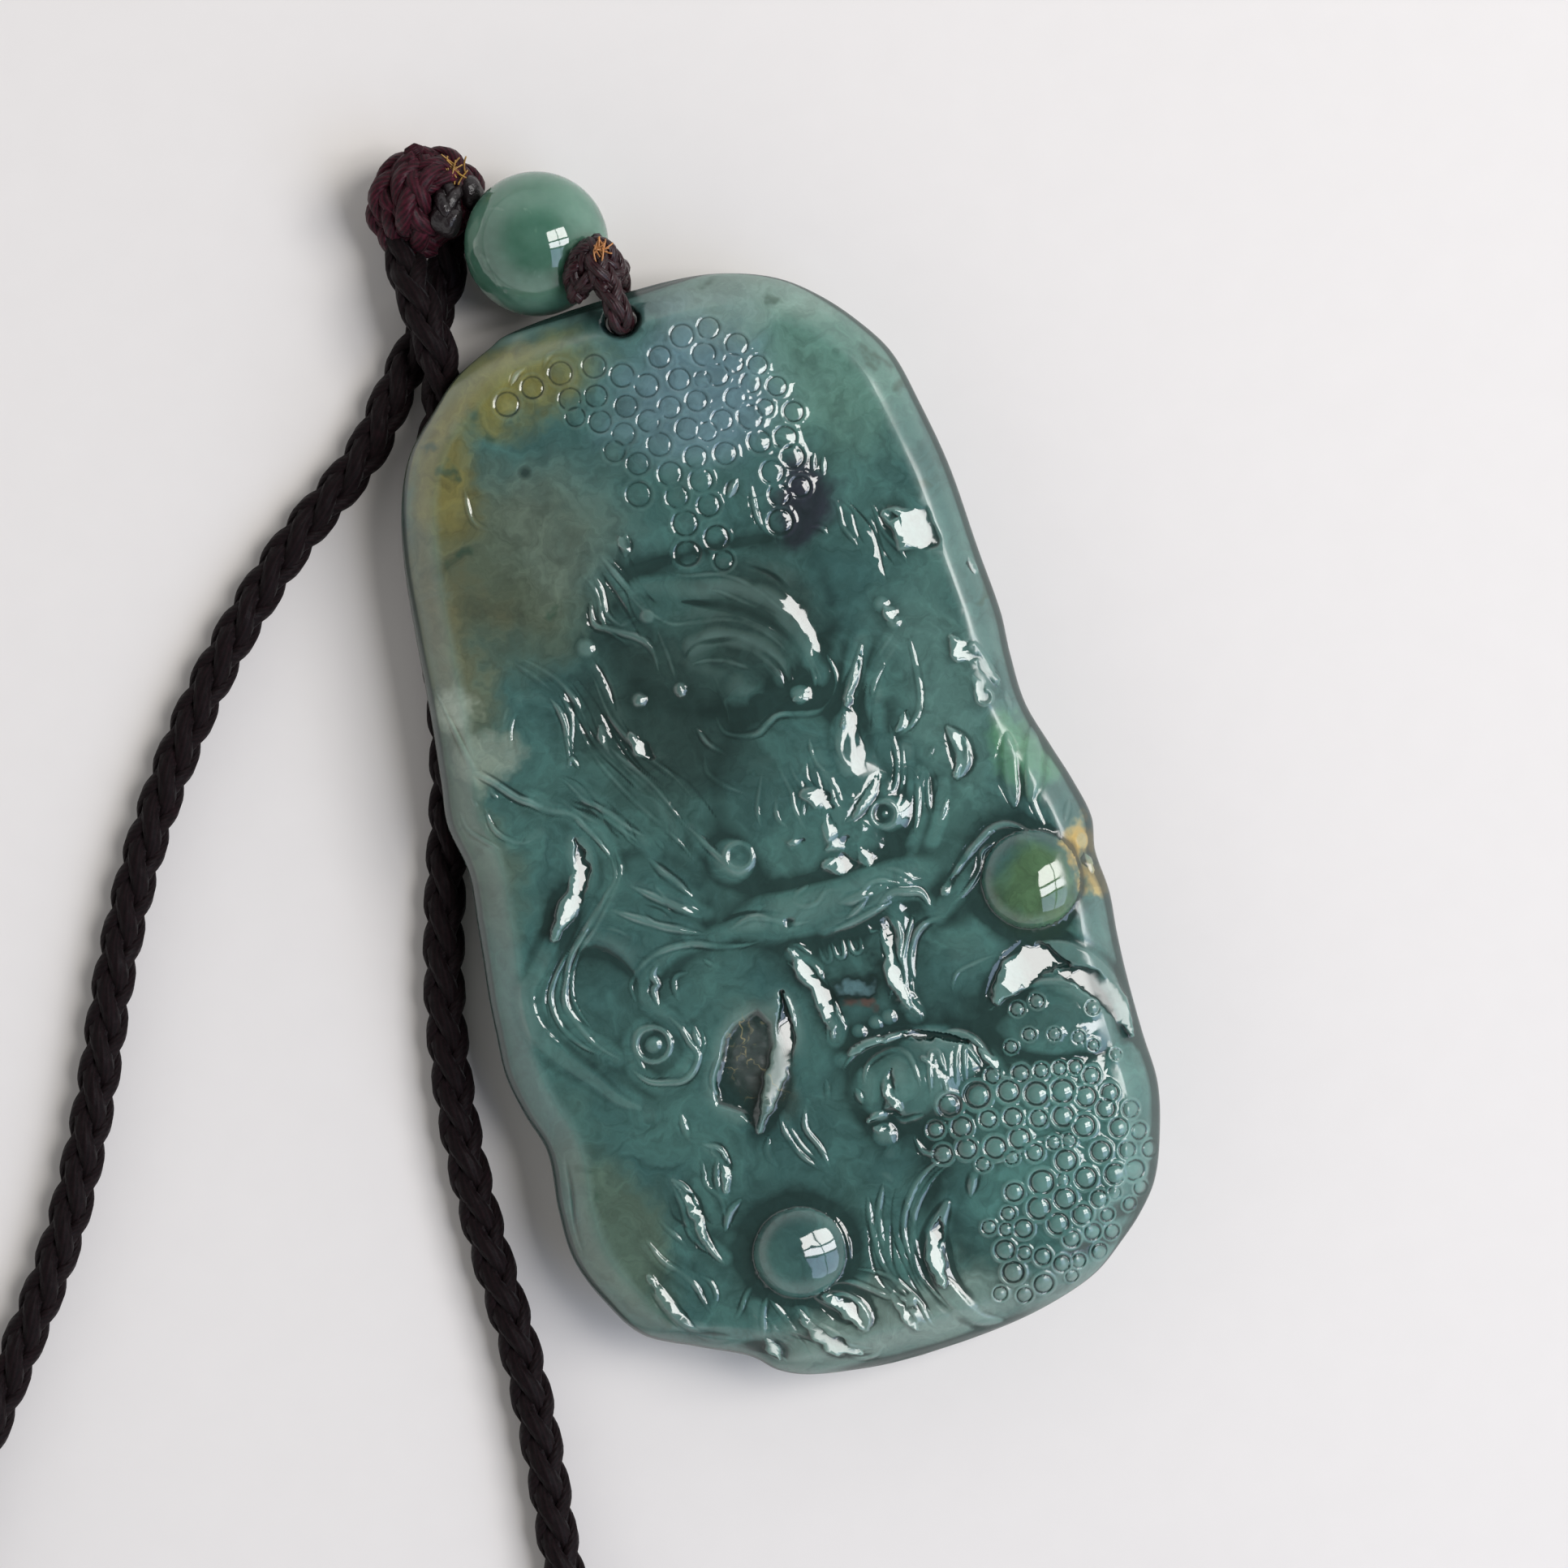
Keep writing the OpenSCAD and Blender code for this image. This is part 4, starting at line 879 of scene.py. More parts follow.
    (0.27, 0.27, [(1, -18), (2, -18.1), (2.6, -17)]),
    (0.22, 0.22, [(2.6, -18.3), (3, -18.7), (4.2, -18.7)]),
    (0.22, 0.22, [(3.3, -19.8), (3.6, -20.8), (4.6, -21.2)]),
    (0.22, 0.22, [(4.6, -21.4), (3, -22.1), (1.7, -23.5), (1.1, -25), (1, -27)]),
    (0.18, 0.16, [(4.7, -21.9), (3.5, -22.5), (2.2, -23.8), (1.6, -25.2), (1.5, -27)]),
    (0.22, 0.2, [(0.8, -21.8), (0, -23.5), (-0.3, -25.5)]),
    (0.22, 0.2, [(-0.3, -22.3), (-0.6, -24), (-0.6, -25.8)]),
    (0.5, 0.32, [(4, -24), (2.8, -25.5), (2.3, -27.5), (2.6, -29), (3.7, -31), (5, -31.7)]),
    (0.32, 0.28, [(6.4, -22.5), (5.9, -23), (5.4, -24)]),
    (0.17, 0.15, [(6.5, -21.9), (7, -22.5), (8.5, -22.4), (9.8, -22), (11.4, -22.2), (12.2, -23),
                  (12.7, -23.4)]),
    # lower pearl, petals and leaves
    (0.22, 0.2, [(-3.2, -22.1), (-2.4, -23.3), (-2.2, -24.5), (-2.4, -25.7)]),
    (0.6, 0.36, [(-4.8, -27), (-3.4, -27.8), (-2.6, -28.9), (-2.7, -29.6)]),
    (0.3, 0.28, [(-6.1, -27.4), (-5.6, -28.6), (-4.8, -29.7), (-3.7, -30.5), (-2.7, -30.9)]),
    (0.2, 0.18, [(-4.3, -30.7), (-3.5, -31.3), (-2.6, -31.4), (-2, -31)]),
    (0.3, 0.28, [(-8.4, -28.7), (-7.7, -30.2)]),
    (0.22, 0.18, [(-8.5, -28.5), (-8.1, -27), (-7.4, -25.9)]),
    (0.22, 0.22, [(-3.9, -26.5), (-2.8, -26.7), (-1.5, -27.7), (-0.8, -28.3), (-0.4, -27.9)]),
    (0.19, 0.15, [(-2.2, -26.1), (-0.6, -27), (0.6, -28.6), (1, -30.4), (1.5, -31)]),
    (0.19, 0.15, [(-7.6, -25), (-8.6, -25.6), (-9.4, -26.6), (-9.9, -27)]),
    (0.2, 0.16, [(-7.6, -26.2), (-7, -27.5), (-6.5, -29.3)]),
    (0.17, 0.13, [(-7.9, -27.2), (-7.6, -28.5), (-7.1, -29.7)]),
    (0.3, 0.3, [(-10.9, -18), (-10.3, -18.8), (-10.1, -20.3), (-10.2, -21.6), (-9.8, -22.9), (-9.4, -23.6)]),
    (0.2, 0.2, [(-11, -18.4), (-10.8, -19.6), (-10.8, -21.4), (-10.1, -22.8)]),
    (0.27, 0.24, [(-8.6, -16.6), (-7.8, -17.1), (-7.6, -18), (-7.8, -19)]),
    (0.22, 0.22, [(-8, -17.6), (-8.4, -18.7), (-8.5, -19.6)]),
    (0.27, 0.16, [(-9.3, -14.5), (-9.3, -16.2)]),
    (0.27, 0.24, [(-4.8, -17.3), (-5.1, -18.2), (-4.8, -19.1)]),
    (0.2, 0.2, [(-3.8, -16.2), (-3.8, -17.3), (-3.3, -18.8), (-2.5, -20)]),
    (0.17, 0.16, [(-3.5, -17), (-3.1, -18.4), (-2.5, -19.4)]),
    (0.2, 0.2, [(-2.2, -16.2), (-2.6, -17.4), (-2.1, -18.8), (-1.9, -20.2)]),
    (0.2, 0.17, [(-0.6, -15.1), (-0.9, -16.4)]),
    (0.26, 0.22, [(0.9, -16.1), (1, -17)]),
    (0.26, 0.22, [(-8.8, -21.8), (-8.3, -20.9), (-7.4, -20.3)]),
    (0.22, 0.22, [(-13.4, -20.9), (-12.8, -22.4), (-12, -23.4), (-11.4, -24.4), (-11.2, -25.4),
                  (-11, -26.2)]),
    (0.17, 0.17, [(-11, -23.9), (-10.5, -24.4), (-10.4, -25.2), (-10.7, -25.9)]),
    (0.36, 0.24, [(-13.9, -24), (-13.3, -25.2), (-12.6, -26.4), (-12, -27)]),
    (0.3, 0.2, [(-12.2, -27.2), (-11.3, -27.7), (-10.3, -28)]),
    (0.26, -0.2, [(-16.5, -15), (-16.7, -17), (-17.1, -19), (-17.2, -21)]),
    # edges at the top
    (0.19, 0.16, [(-6.4, 28.9), (-5.9, 29.4), (-5.3, 29.6)]),
    (0.19, 0.15, [(-4.3, 29.3), (-3.8, 29.9), (-3.2, 30.1)]),
    (0.3, 0.22, [(3.8, 18.9), (4.6, 19.8)]),
    (0.2, 0.2, [(9, 19), (9.3, 19.9)]), (0.2, 0.2, [(9.5, 18.6), (9.8, 19.6)]),
    (0.2, 0.18, [(5.3, 19.3), (5.1, 17.5), (5.3, 16.4)]),
    (0.2, 0.18, [(7.9, 15.9), (8.5, 15.7), (8.7, 15.2)]),
]

# long cut faces that mirror the window: half width, points
cutFaces = [
    (0.6, [(-10.5, 2.5), (-10.6, 1), (-11.1, 0), (-12, -1.2), (-13.4, -2.6)]),
    (0.36, [(-7.15, 8.5), (-7.15, 6.7)]), (0.5, [(-5.6, 7.4), (-5.3, 6.5), (-4.9, 5.8)]),
    (0.3, [(-4.7, 9.1), (-4.3, 9.2)]), (0.25, [(-2.1, 9.4), (-2.1, 8.8)]),
    (1.9, [(12.8, 15), (13.6, 14.1), (14.3, 13.2)]), (0.4, [(12.2, 15.4), (12.9, 15)]),
    (0.6, [(13.8, 7.4), (14.2, 6.4), (14.9, 5.9)]), (0.4, [(14.9, 6), (15.3, 5), (15.7, 4)]),
    (0.38, [(14.4, 4.8), (14.6, 3.3)]), (0.3, [(12.1, 2.4), (12.5, 1.2), (12.2, 0.3), (11.7, -0.4)]),
    (0.75, [(3, 1.1), (3.7, 0.7), (4.3, 0)]), (0.5, [(4, -0.4), (3.7, -1.9)]),
    (0.42, [(3.3, -2.3), (4.7, -2)]), (0.65, [(3, -3.1), (4.7, -3.6)]), (0.45, [(5.1, -2.8), (5.5, -3.9)]),
    (0.26, [(7.5, 1), (6.6, -0.1), (5.2, -1.1)]), (0.2, [(8.7, 8.4), (7.9, 7), (7, 5.7), (6.3, 4.3)]),
    (0.3, [(4, 6.6), (5, 6.7)]), (0.25, [(10.1, 4.1), (9.7, 3.4), (9, 3)]),
    (0.25, [(10.6, 10.2), (10.9, 9.3)]), (0.2, [(1.3, -1.3), (2.2, -1.4)]),
    (1.2, [(10.2, -13.5), (11.8, -12.5), (13.2, -12), (14.6, -12.8)]),
    (0.8, [(14, -13), (15.6, -14), (16.7, -15.6), (17.2, -17.8)]),
    (0.62, [(-1.6, -9.5), (-1.9, -11), (-2.4, -12.6), (-3.6, -14.3), (-5.2, -16.8)]),
    (0.22, [(0.6, -14.3), (2, -13.8), (4, -13.9), (6.3, -14.5), (7.9, -15.4)]),
    (0.32, [(8.3, -15.8), (8.9, -17), (9.4, -18)]), (0.22, [(1, -18.1), (2.3, -17.9), (3, -18.4)]),
    (0.32, [(3.3, -15.4), (2.6, -16.8), (3, -18)]), (0.25, [(5, -15.4), (5.8, -16.4), (5.9, -17.6)]),
    (0.55, [(-0.5, -7.2), (0.1, -8.8), (0.7, -10.6), (0.5, -12.9)]),
    (0.45, [(5.5, -7.2), (5.2, -8.8), (4.9, -10.6), (5.3, -12.9)]),
    (0.6, [(-4.4, -27.1), (-3.4, -28), (-2.9, -29.4)]), (0.5, [(-6, -28), (-5, -29.7), (-3.4, -31)]),
    (0.35, [(-0.6, -28.2), (-0.2, -29.4), (0.2, -30.6)]), (0.3, [(-8.4, -28.6), (-8, -30)]),
    (0.3, [(-10.9, -18.1), (-10.2, -20), (-10.1, -22)]), (0.25, [(-8.4, -16.6), (-7.7, -18), (-8.1, -19.6)]),
    (0.35, [(-13.9, -23), (-13.2, -24.9), (-12.2, -26.6)]),
    (0.5, [(3.4, -24.6), (2.4, -26.6), (2.4, -28.8)]), (0.3, [(1.2, -18.6), (2, -18.9)]),
    (0.35, [(16.2, 11.8), (16.4, 10.6)]), (0.3, [(17.6, -6.8), (17.8, -8)]),
    (0.3, [(8.9, -6.8), (10, -6)]), (0.3, [(-2.9, 18.6), (-2.6, 17.6)])]

# guide lines of the hair: first line, last line, how many cuts between them
combs = [
    ([(-10, 13.5), (-9.2, 11.5), (-8.6, 9.5), (-8, 7), (-7.2, 5), (-6.3, 3), (-5, 0.5), (-4.2, -1.5)],
     [(-6.8, 13), (-6.2, 11), (-5.8, 8.5), (-4.6, 6), (-3.2, 3.8), (-2, 1.5), (-1.2, 0.3)], 10),
    ([(-12.5, 6), (-11, 5), (-9.5, 3.5), (-8.6, 1.5)], [(-9.6, 6.6), (-8.2, 4.6), (-7, 2.6), (-5.8, 0)], 7),
    ([(8.4, 7.2), (7.2, 5.4), (6.6, 3.8), (6.3, 2.5), (6.2, 1.2)],
     [(11.5, 8.6), (9.6, 6.6), (8.7, 4.4), (8.5, 2), (7.9, 0.4)], 4),
    ([(-6, 17.6), (-5.6, 15.6), (-5.4, 13.6), (-4.4, 11.8)],
     [(-2.4, 17.8), (-2.4, 15.6), (-1.6, 13.6), (-1.4, 12)], 6),
    ([(-0.5, 15.4), (2, 14.6), (4.2, 12.6), (5.6, 10.8)],
     [(-1, 12.9), (1.5, 12.4), (3.6, 10.9), (4.9, 8.4)], 2),
    ([(-10.5, 1.6), (-11, 0), (-12.4, -1.5), (-14.2, -3.5), (-15.7, -5.6), (-15.7, -7.6), (-14.2, -10.2)],
     [(-9.1, 1), (-9.3, -0.4), (-10.7, -2.1), (-12.4, -4), (-13.7, -6), (-13.5, -8), (-12, -10.8)], 3),
    ([(-9.4, -2.4), (-7.4, -3.9), (-5, -5)], [(-7, -0.6), (-5.8, -2.6), (-4.2, -4.2)], 5),
    ([(9.2, 3.4), (8.6, 0.6), (7.4, -1.6)], [(11.4, 0.6), (10.6, -1.4), (9.4, -3.4)], 3),
    ([(-12.6, -19), (-12, -21.4), (-10.4, -24)], [(-9, -17), (-8.6, -19.4), (-8, -22)], 5),
    ([(-8.8, -26.8), (-8.2, -28.6), (-7.4, -30.2)], [(-4.6, -27.4), (-3.6, -29.4), (-1.4, -31.2)], 6),
    ([(4, -22.2), (2, -24.4), (1.6, -27.6), (2.6, -30.6)], [(0, -21.6), (-1, -24), (-1, -27), (0.6, -31)], 6),
    ([(9.4, 12.6), (9.6, 15), (9, 18)], [(13, 11), (12.4, 14), (11.4, 17)], 5),
    ([(1, -1.6), (2.4, 0.4), (2.6, 3.4)], [(5.4, -1.4), (5, 0.6), (4.4, 4)], 5)]

# where the cutter went lightly: x, y, reach x, reach y, how much is taken off the strokes
calmPlaces = [(3, 10.5, 6, 6, 0.7), (9, 3.5, 4, 7, 0.35), (6.4, 3.5, 2.5, 5, 0.72),
              (5.8, 10.8, 1.6, 3.2, 0.85), (1.5, -26, 4, 6, 0.3)]

# round knobs: x, y, radius, rise (a pit where it is negative)
knobs = [
    (1.4, 7.7, 1.5, 0.1), (1.9, 7.3, 0.5, -0.04), (4.5, 6.8, 0.7, 0.2), (-2.7, 13.7, 0.45, 0.22),
    (-4.6, 9.2, 0.5, 0.22), (-2.1, 9.1, 0.45, 0.2), (-6.7, 13, 0.6, 0.22), (10.5, 10.4, 0.5, 0.22),
    (10.8, 9.8, 0.45, 0.22), (10.9, 9.2, 0.42, 0.22), (-9.65, -10.2, 0.52, 0.28), (2, -13, 0.5, 0.22),
    (3.1, -12.8, 0.5, 0.22), (3.9, -12.7, 0.5, 0.22), (0, -5.7, 0.38, -0.25), (17.8, -6.2, 0.5, 0.25),
    (-0.2, -28.8, 0.4, 0.22), (0.4, -28.8, 0.4, 0.22), (0.1, -29.8, 0.55, 0.22), (1.7, -19.1, 0.75, 0.3),
    (-7.1, 23.8, 0.5, -0.1)]

# rings: x, y, radius, half width, rise
carvedRings = [
    (-1.7, -1.2, 0.8, 0.18, 0.06), (7.1, -1.3, 0.75, 0.18, 0.07), (-1.7, -1.2, 0.3, 0.4, -0.08),
    (7.1, -1.3, 0.3, 0.4, -0.1), (-9.65, -10.2, 1.0, 0.15, 0.12), (14.7, 3.5, 0.45, 0.16, 0.14)]

# scales with a thin ring and a knob: x, y, radius
lowerScales = [
    (5.8, -18.6, 0.8), (7.5, -18.5, 0.9), (9.3, -18.8, 0.75), (10.8, -19.4, 0.82), (12.3, -19.7, 0.82),
    (13.5, -20.4, 0.7), (14.4, -21.4, 0.65), (14.8, -22.7, 0.65), (4.6, -19.7, 0.6), (6.1, -20.0, 0.7),
    (7.7, -20.0, 0.6), (9.1, -20.3, 0.65), (10.5, -20.8, 0.6), (11.9, -21.1, 0.72), (12.9, -22.0, 0.75),
    (13.4, -23.7, 0.72), (6.0, -21.3, 0.7), (7.6, -21.7, 0.75), (9.1, -21.6, 0.72), (9.6, -24.4, 0.85),
    (11.3, -23.6, 0.75), (12.1, -24.9, 0.75), (10.6, -25.7, 0.75), (9.0, -25.8, 0.8), (7.9, -24.5, 0.65),
    (13.8, -25.2, 0.72), (14.9, -24.1, 0.6), (15.0, -25.4, 0.75), (7.2, -25.6, 0.5), (7.8, -26.7, 0.65),
    (9.8, -27.0, 0.75), (11.3, -26.9, 0.7), (12.5, -26.3, 0.6), (6.4, -27.6, 0.7), (6.5, -29.0, 0.75),
    (8.0, -30.2, 0.7), (10.3, -28.1, 0.6), (11.6, -28.1, 0.6), (12.7, -27.4, 0.5), (8.4, -28.6, 0.6),
    (10.2, -16.4, 0.45), (11.4, -16.0, 0.45), (12.8, -16.4, 0.45), (14.1, -17.0, 0.45), (15.4, -15.6, 0.5),
    (11.2, -14.4, 0.5), (12.4, -14.3, 0.5), (14.8, -17.7, 0.4), (15.9, -18.6, 0.4), (14.9, -20.6, 0.6),
    (15.8, -21.9, 0.6), (15.9, -23.3, 0.6)]
upperScales = [
    (-6.9, 27.9, 0.88), (-5.2, 28.4, 0.8), (-3.4, 28.7, 0.85), (-1.4, 28.5, 0.85), (-3.3, 27.1, 0.8),
    (-1.8, 26.8, 0.8), (0, 27.5, 0.85), (-3.3, 26, 0.7), (-2.0, 25.3, 0.8), (-0.3, 25.7, 0.8),
    (1.2, 26.5, 0.85), (3.1, 26.3, 0.8), (4.0, 28.7, 0.85), (2.4, 27.9, 0.8), (5.6, 28.7, 0.8),
    (4.9, 27.3, 0.85), (6.9, 27.3, 0.8), (6.4, 26.3, 0.7), (5.3, 25.9, 0.8), (7.7, 25.8, 0.7),
    (-0.9, 24.2, 0.8), (0.7, 24.5, 0.8), (2.1, 24.9, 0.8), (3.7, 24.8, 0.75), (5.9, 24.3, 0.75),
    (7, 24.9, 0.7), (8.4, 24.3, 0.7), (-1.7, 23.4, 0.75), (0.9, 23, 0.85), (2.7, 23.4, 0.8),
    (3.8, 22.9, 0.7), (4.8, 23.3, 0.75), (6.4, 23, 0.88), (7.4, 23.3, 0.6), (8.9, 22.6, 0.72),
    (-0.6, 22.3, 0.8), (-1.1, 20.6, 0.88), (1, 21.2, 0.85), (2.7, 21.7, 0.8), (4.4, 21.4, 0.8),
    (6.5, 21.5, 0.8), (8, 21.3, 0.8), (1, 19.8, 0.8), (2.6, 20.3, 0.82), (2.6, 18.8, 0.8),
    (1, 18.2, 0.9), (0.6, 16.5, 0.9), (2.5, 16.9, 0.85), (2.5, 15.5, 0.7), (6.3, 16.7, 0.88),
    (6.7, 18.2, 0.75), (8, 18.3, 0.72), (8.1, 20.1, 0.8), (6.7, 19.6, 0.8), (4.4, 25.9, 0.6)]

# outline of the sunk pocket
pocketEdge = [(-4.8, -10.3), (-3.2, -9.9), (-2.6, -11), (-2.9, -12.6), (-3.7, -14.2), (-4.8, -15.7),
              (-5.4, -16.7), (-6, -15.6), (-7.2, -14.7), (-7.1, -13.5), (-6.3, -12.2), (-5.7, -11)]

# outline of the field in which the lower scales crowd together
scaleField = [(4, -18.8), (6, -17.6), (9, -17.6), (13, -18.2), (15.6, -20.4), (16.6, -23.5), (16, -26),
              (13.5, -28.6), (10.5, -30.2), (7, -30.7), (5.3, -30), (5.5, -26.6), (7, -24.6), (9.2, -23.6),
              (9, -22.7), (6.5, -22.6), (4.5, -21.2)]


def clamp01(values):
    return np.clip(values, 0, 1)


def quarter(share):  # quarter of a circle
    return np.sqrt(1 - (1 - clamp01(share)) ** 2)


def rolled(share):  # rises from the edge like a flattened quarter of a circle
    power = 1.35
    return (1 - (1 - clamp01(share)) ** power) ** (1 / power)


def crowded(share, amount):  # from 1 to -1, closer together at both ends
    return amount * np.cos(math.pi * share) + (1 - amount) * (1 - 2 * share)


outlineTurns = np.degrees(np.arccos(outline[:, 0] / 100))


def edgeAt(y, side):  # left (1) or right (2) edge of the plaque
    turn = np.degrees(np.arccos(np.clip(y / halfLength, -1, 1)))
    i = np.clip(np.searchsorted(outlineTurns, turn, side="right") - 1, 0, len(outline) - 2)
    before, after = np.maximum(0, i - 1), np.minimum(len(outline) - 1, i + 2)
    values, angles = outline[:, side], outlineTurns
    span = angles[i + 1] - angles[i]
    t = (turn - angles[i]) / span
    slopeA = (values[i + 1] - values[before]) / (angles[i + 1] - angles[before])
    slopeB = (values[after] - values[i]) / (angles[after] - angles[i])
    return halfWidth / 100 * ((2 * t ** 3 - 3 * t ** 2 + 1) * values[i]
                              + (t ** 3 - 2 * t ** 2 + t) * span * slopeA
                              + (3 * t ** 2 - 2 * t ** 3) * values[i + 1]
                              + (t ** 3 - t ** 2) * span * slopeB)


def rimDistance(x, y, left, right, lean):  # rounded at the corners, where both distances count
    across = np.maximum(0.0001, np.minimum(x - left, right - x)) * lean
    along = np.maximum(0.0001, halfLength - np.abs(y))
    return 1 / np.sqrt(1 / across ** 2 + 1 / along ** 2)


def toLine(x, y, line):  # distance to a line, and how far along it
    a, d = line[:-1], np.diff(line, axis=0)
    length = np.hypot(d[:, 0], d[:, 1])
    t = clamp01(((x[:, None] - a[:, 0]) * d[:, 0] + (y[:, None] - a[:, 1]) * d[:, 1]) / length ** 2)
    gap = np.hypot(x[:, None] - a[:, 0] - t * d[:, 0], y[:, None] - a[:, 1] - t * d[:, 1])
    best = gap.argmin(1)
    rows = np.arange(len(x))
    start = np.concatenate([[0], np.cumsum(length)[:-1]])
    return gap[rows, best], start[best] + t[rows, best] * length[best], length.sum()


def near(x, y, low, high):  # which places lie in a box
    return (x > low[0]) & (x < high[0]) & (y > low[1]) & (y < high[1])


def mounds(x, y, forms, steepness):
    scaledX, scaledY = x / halfWidth * 100, y / halfLength * 100
    height = np.zeros_like(x)
    for mx, my, reachX, reachY, rise in forms:
        r = ((scaledX - mx) / reachX) ** 2 + ((scaledY - my) / reachY) ** 2
        height = np.maximum(height, rise * np.maximum(0, 1 - r) ** steepness)
    return height


def pearlDomes(x, y):  # steep at the foot, as a bead that is half set into the stone
    height = np.zeros_like(x)
    for mx, my, reachX, reachY, rise, leanX, leanY in pearls:
        u, v = (x / halfWidth * 100 - mx) / reachX, (y / halfLength * 100 - my) / reachY
        dome = rise * np.maximum(0, 1 - u ** 2 - v ** 2) ** 0.55 * (1 - leanX * u - leanY * v)
        height = np.maximum(height, dome)
    return height


def broadRidges(x, y):
    height = np.zeros_like(x)
    for half, rise, points in broadStrokes:
        wide = half * halfWidth / 100
        line = smoothLine(np.array(points) * (halfWidth, halfLength) / 100, 4)
        spot = near(x, y, line.min(0) - wide, line.max(0) + wide)
        gap = toLine(x[spot], y[spot], line)[0]
        height[spot] = np.maximum(height[spot], rise * np.maximum(0, 1 - (gap / wide) ** 2) ** 1.5)
    return height


def calmness(x, y):  # how much of a stroke's height is left
    left = np.ones_like(x)
    for calmX, calmY, reachX, reachY, share in calmPlaces:
        away = np.hypot((x - calmX) / reachX, (y - calmY) / reachY)
        left *= 1 - share * clamp01(2 - 2 * away)
    return left


def fineRelief(x, y):  # strokes with thin tips, knobs and rings
    raised, shoulder, cut = np.zeros_like(x), np.zeros_like(x), np.zeros_like(x)
    for half, rise, points in fineStrokes + combedStrokes():
        band = half > plaque["bandWidth"]  # flat on top, the others are as sharp as a tent
        rise *= plaque["fineRise"]
        if band:
            rise *= plaque["bandRise"]
        else:
            half *= plaque["fineWidth"]
        line = smoothLine(points, 4)
        spot = near(x, y, line.min(0) - 2 * half, line.max(0) + 2 * half)
        gap, along, length = toLine(x[spot], y[spot], line)
        fromEnd = np.minimum(along, length - along)
        fade = clamp01((fromEnd + half) / min(1.2, 0.4 * length + half)) ** 0.7
        if not band:  # cut by hand, now deeper and now shallower
            fade *= 0.62 + 0.5 * softNoise(x[spot], y[spot], 1.1, 14)
        fade *= calmness(x[spot], y[spot])
        tip = plaque["strokeTip"]
        q = gap / (half * (tip + (1 - tip) * clamp01(fromEnd / (0.28 * length + 0.5 * half)) ** 0.7))
        if rise > 0:  # a ridge with a shallow cut on both sides
            height = rise * fade * np.maximum(0, 1 - q ** (6 if band else 1.4))
            raised[spot] = np.maximum(raised[spot], height)
            side = rise * fade * np.sin(math.pi * clamp01((q - 1) / 1.2))
            shoulder[spot] = np.maximum(shoulder[spot], 0.45 * side)
        else:
            cut[spot] = np.maximum(cut[spot], -rise * fade * np.maximum(0, 1 - q ** 2) ** 1.5)
    rounds = carvedRings + [(mx, my, 0, radius, plaque["knobRise"] * rise)
                            for mx, my, radius, rise in knobs]
    for mx, my, radius, half, rise in rounds:
        reach = radius + half
        spot = near(x, y, (mx - reach, my - reach), (mx + reach, my + reach))
        q = (np.hypot(x[spot] - mx, y[spot] - my) - radius) / half
        into = raised if rise > 0 else cut
        into[spot] = np.maximum(into[spot], abs(rise) * np.maximum(0, 1 - q ** 2))
    return raised - shoulder * np.exp(-raised / 0.05) - cut


def combedStrokes():  # thin cuts that run between pairs of guide lines, like combed hair
    rng = np.random.default_rng(12)
    strokes = []
    for first, last, count in combs:
        a, b = [evenLine(smoothLine(guide, 8), 0.1) for guide in (first, last)]
        share = np.linspace(0, 1, 22)
        a, b = [g[(share * (len(g) - 1)).astype(int)] for g in (a, b)]
        for k in range(count):
            across = (k + 0.5 + rng.uniform(-0.3, 0.3)) / count
            line = a * (1 - across) + b * across
            begin, end = rng.integers(0, 8), rng.integers(14, 22)
            wave = 0.16 * np.sin(share * rng.uniform(6, 14) + rng.uniform(0, 6))[:, None]
            line = line + wave * (1, 0.3)
            strokes.append((0.18, -rng.uniform(0.08, 0.17) if k % 4 else 0.11, line[begin:end]))
    return strokes


def cutFacesInto(z, x, y):  # faces that the cutter left turned to the window
    for half, points in cutFaces:
        line = smoothLine(points, 4)
        fallX, fallY = mirrorSlope(*line.mean(0), plaque["faceHeight"])
        left, right = edgeAt(line[:, 1], 1), edgeAt(line[:, 1], 2)
        lineHeights = faceHeights(line[:, 0], line[:, 1], rimDistance(line[:, 0], line[:, 1], left, right, 1))
        spot = near(x, y, line.min(0) - half, line.max(0) + half)
        gap, along, length = toLine(x[spot], y[spot], line)
        lineFall = (line - line.mean(0)) @ (fallX, fallY)
        level = lineHeights.mean() - np.clip(lineFall, -plaque["faceStep"], plaque["faceStep"])
        reached = along / length * (len(line) - 1)
        baseHeight, nearestX, nearestY = [np.interp(reached, np.arange(len(line)), values)
                                          for values in (level, line[:, 0], line[:, 1])]
        fall = (x[spot] - nearestX) * fallX + (y[spot] - nearestY) * fallY
        gap = gap + plaque["faceRagged"] * softNoise(x[spot], y[spot], 0.5, 16)
        taper = clamp01((np.minimum(along, length - along) + 0.5 * half) / (half + 0.25 * length))
        share = clamp01((1 - gap / (half * np.maximum(taper, 0.15))) / plaque["faceEdge"])
        share = share ** 2 * (3 - 2 * share)
        ripple = plaque["faceRipple"] * softNoise(x[spot], y[spot], 0.4, 9)
        cutHeight = baseHeight + plaque["faceProud"] - fall + ripple
        z[spot] = z[spot] * (1 - share) + cutHeight * share
    return z


def inside(x, y, edge):  # whether places lie inside a closed outline
    found = np.zeros(len(x), bool)
    for (ax, ay), (bx, by) in zip(edge[:-1], edge[1:]):
        crosses = (ay > y) != (by > y)
        found ^= crosses & (x < (bx - ax) * (y - ay) / (by - ay + 1e-9) + ax)
    return found


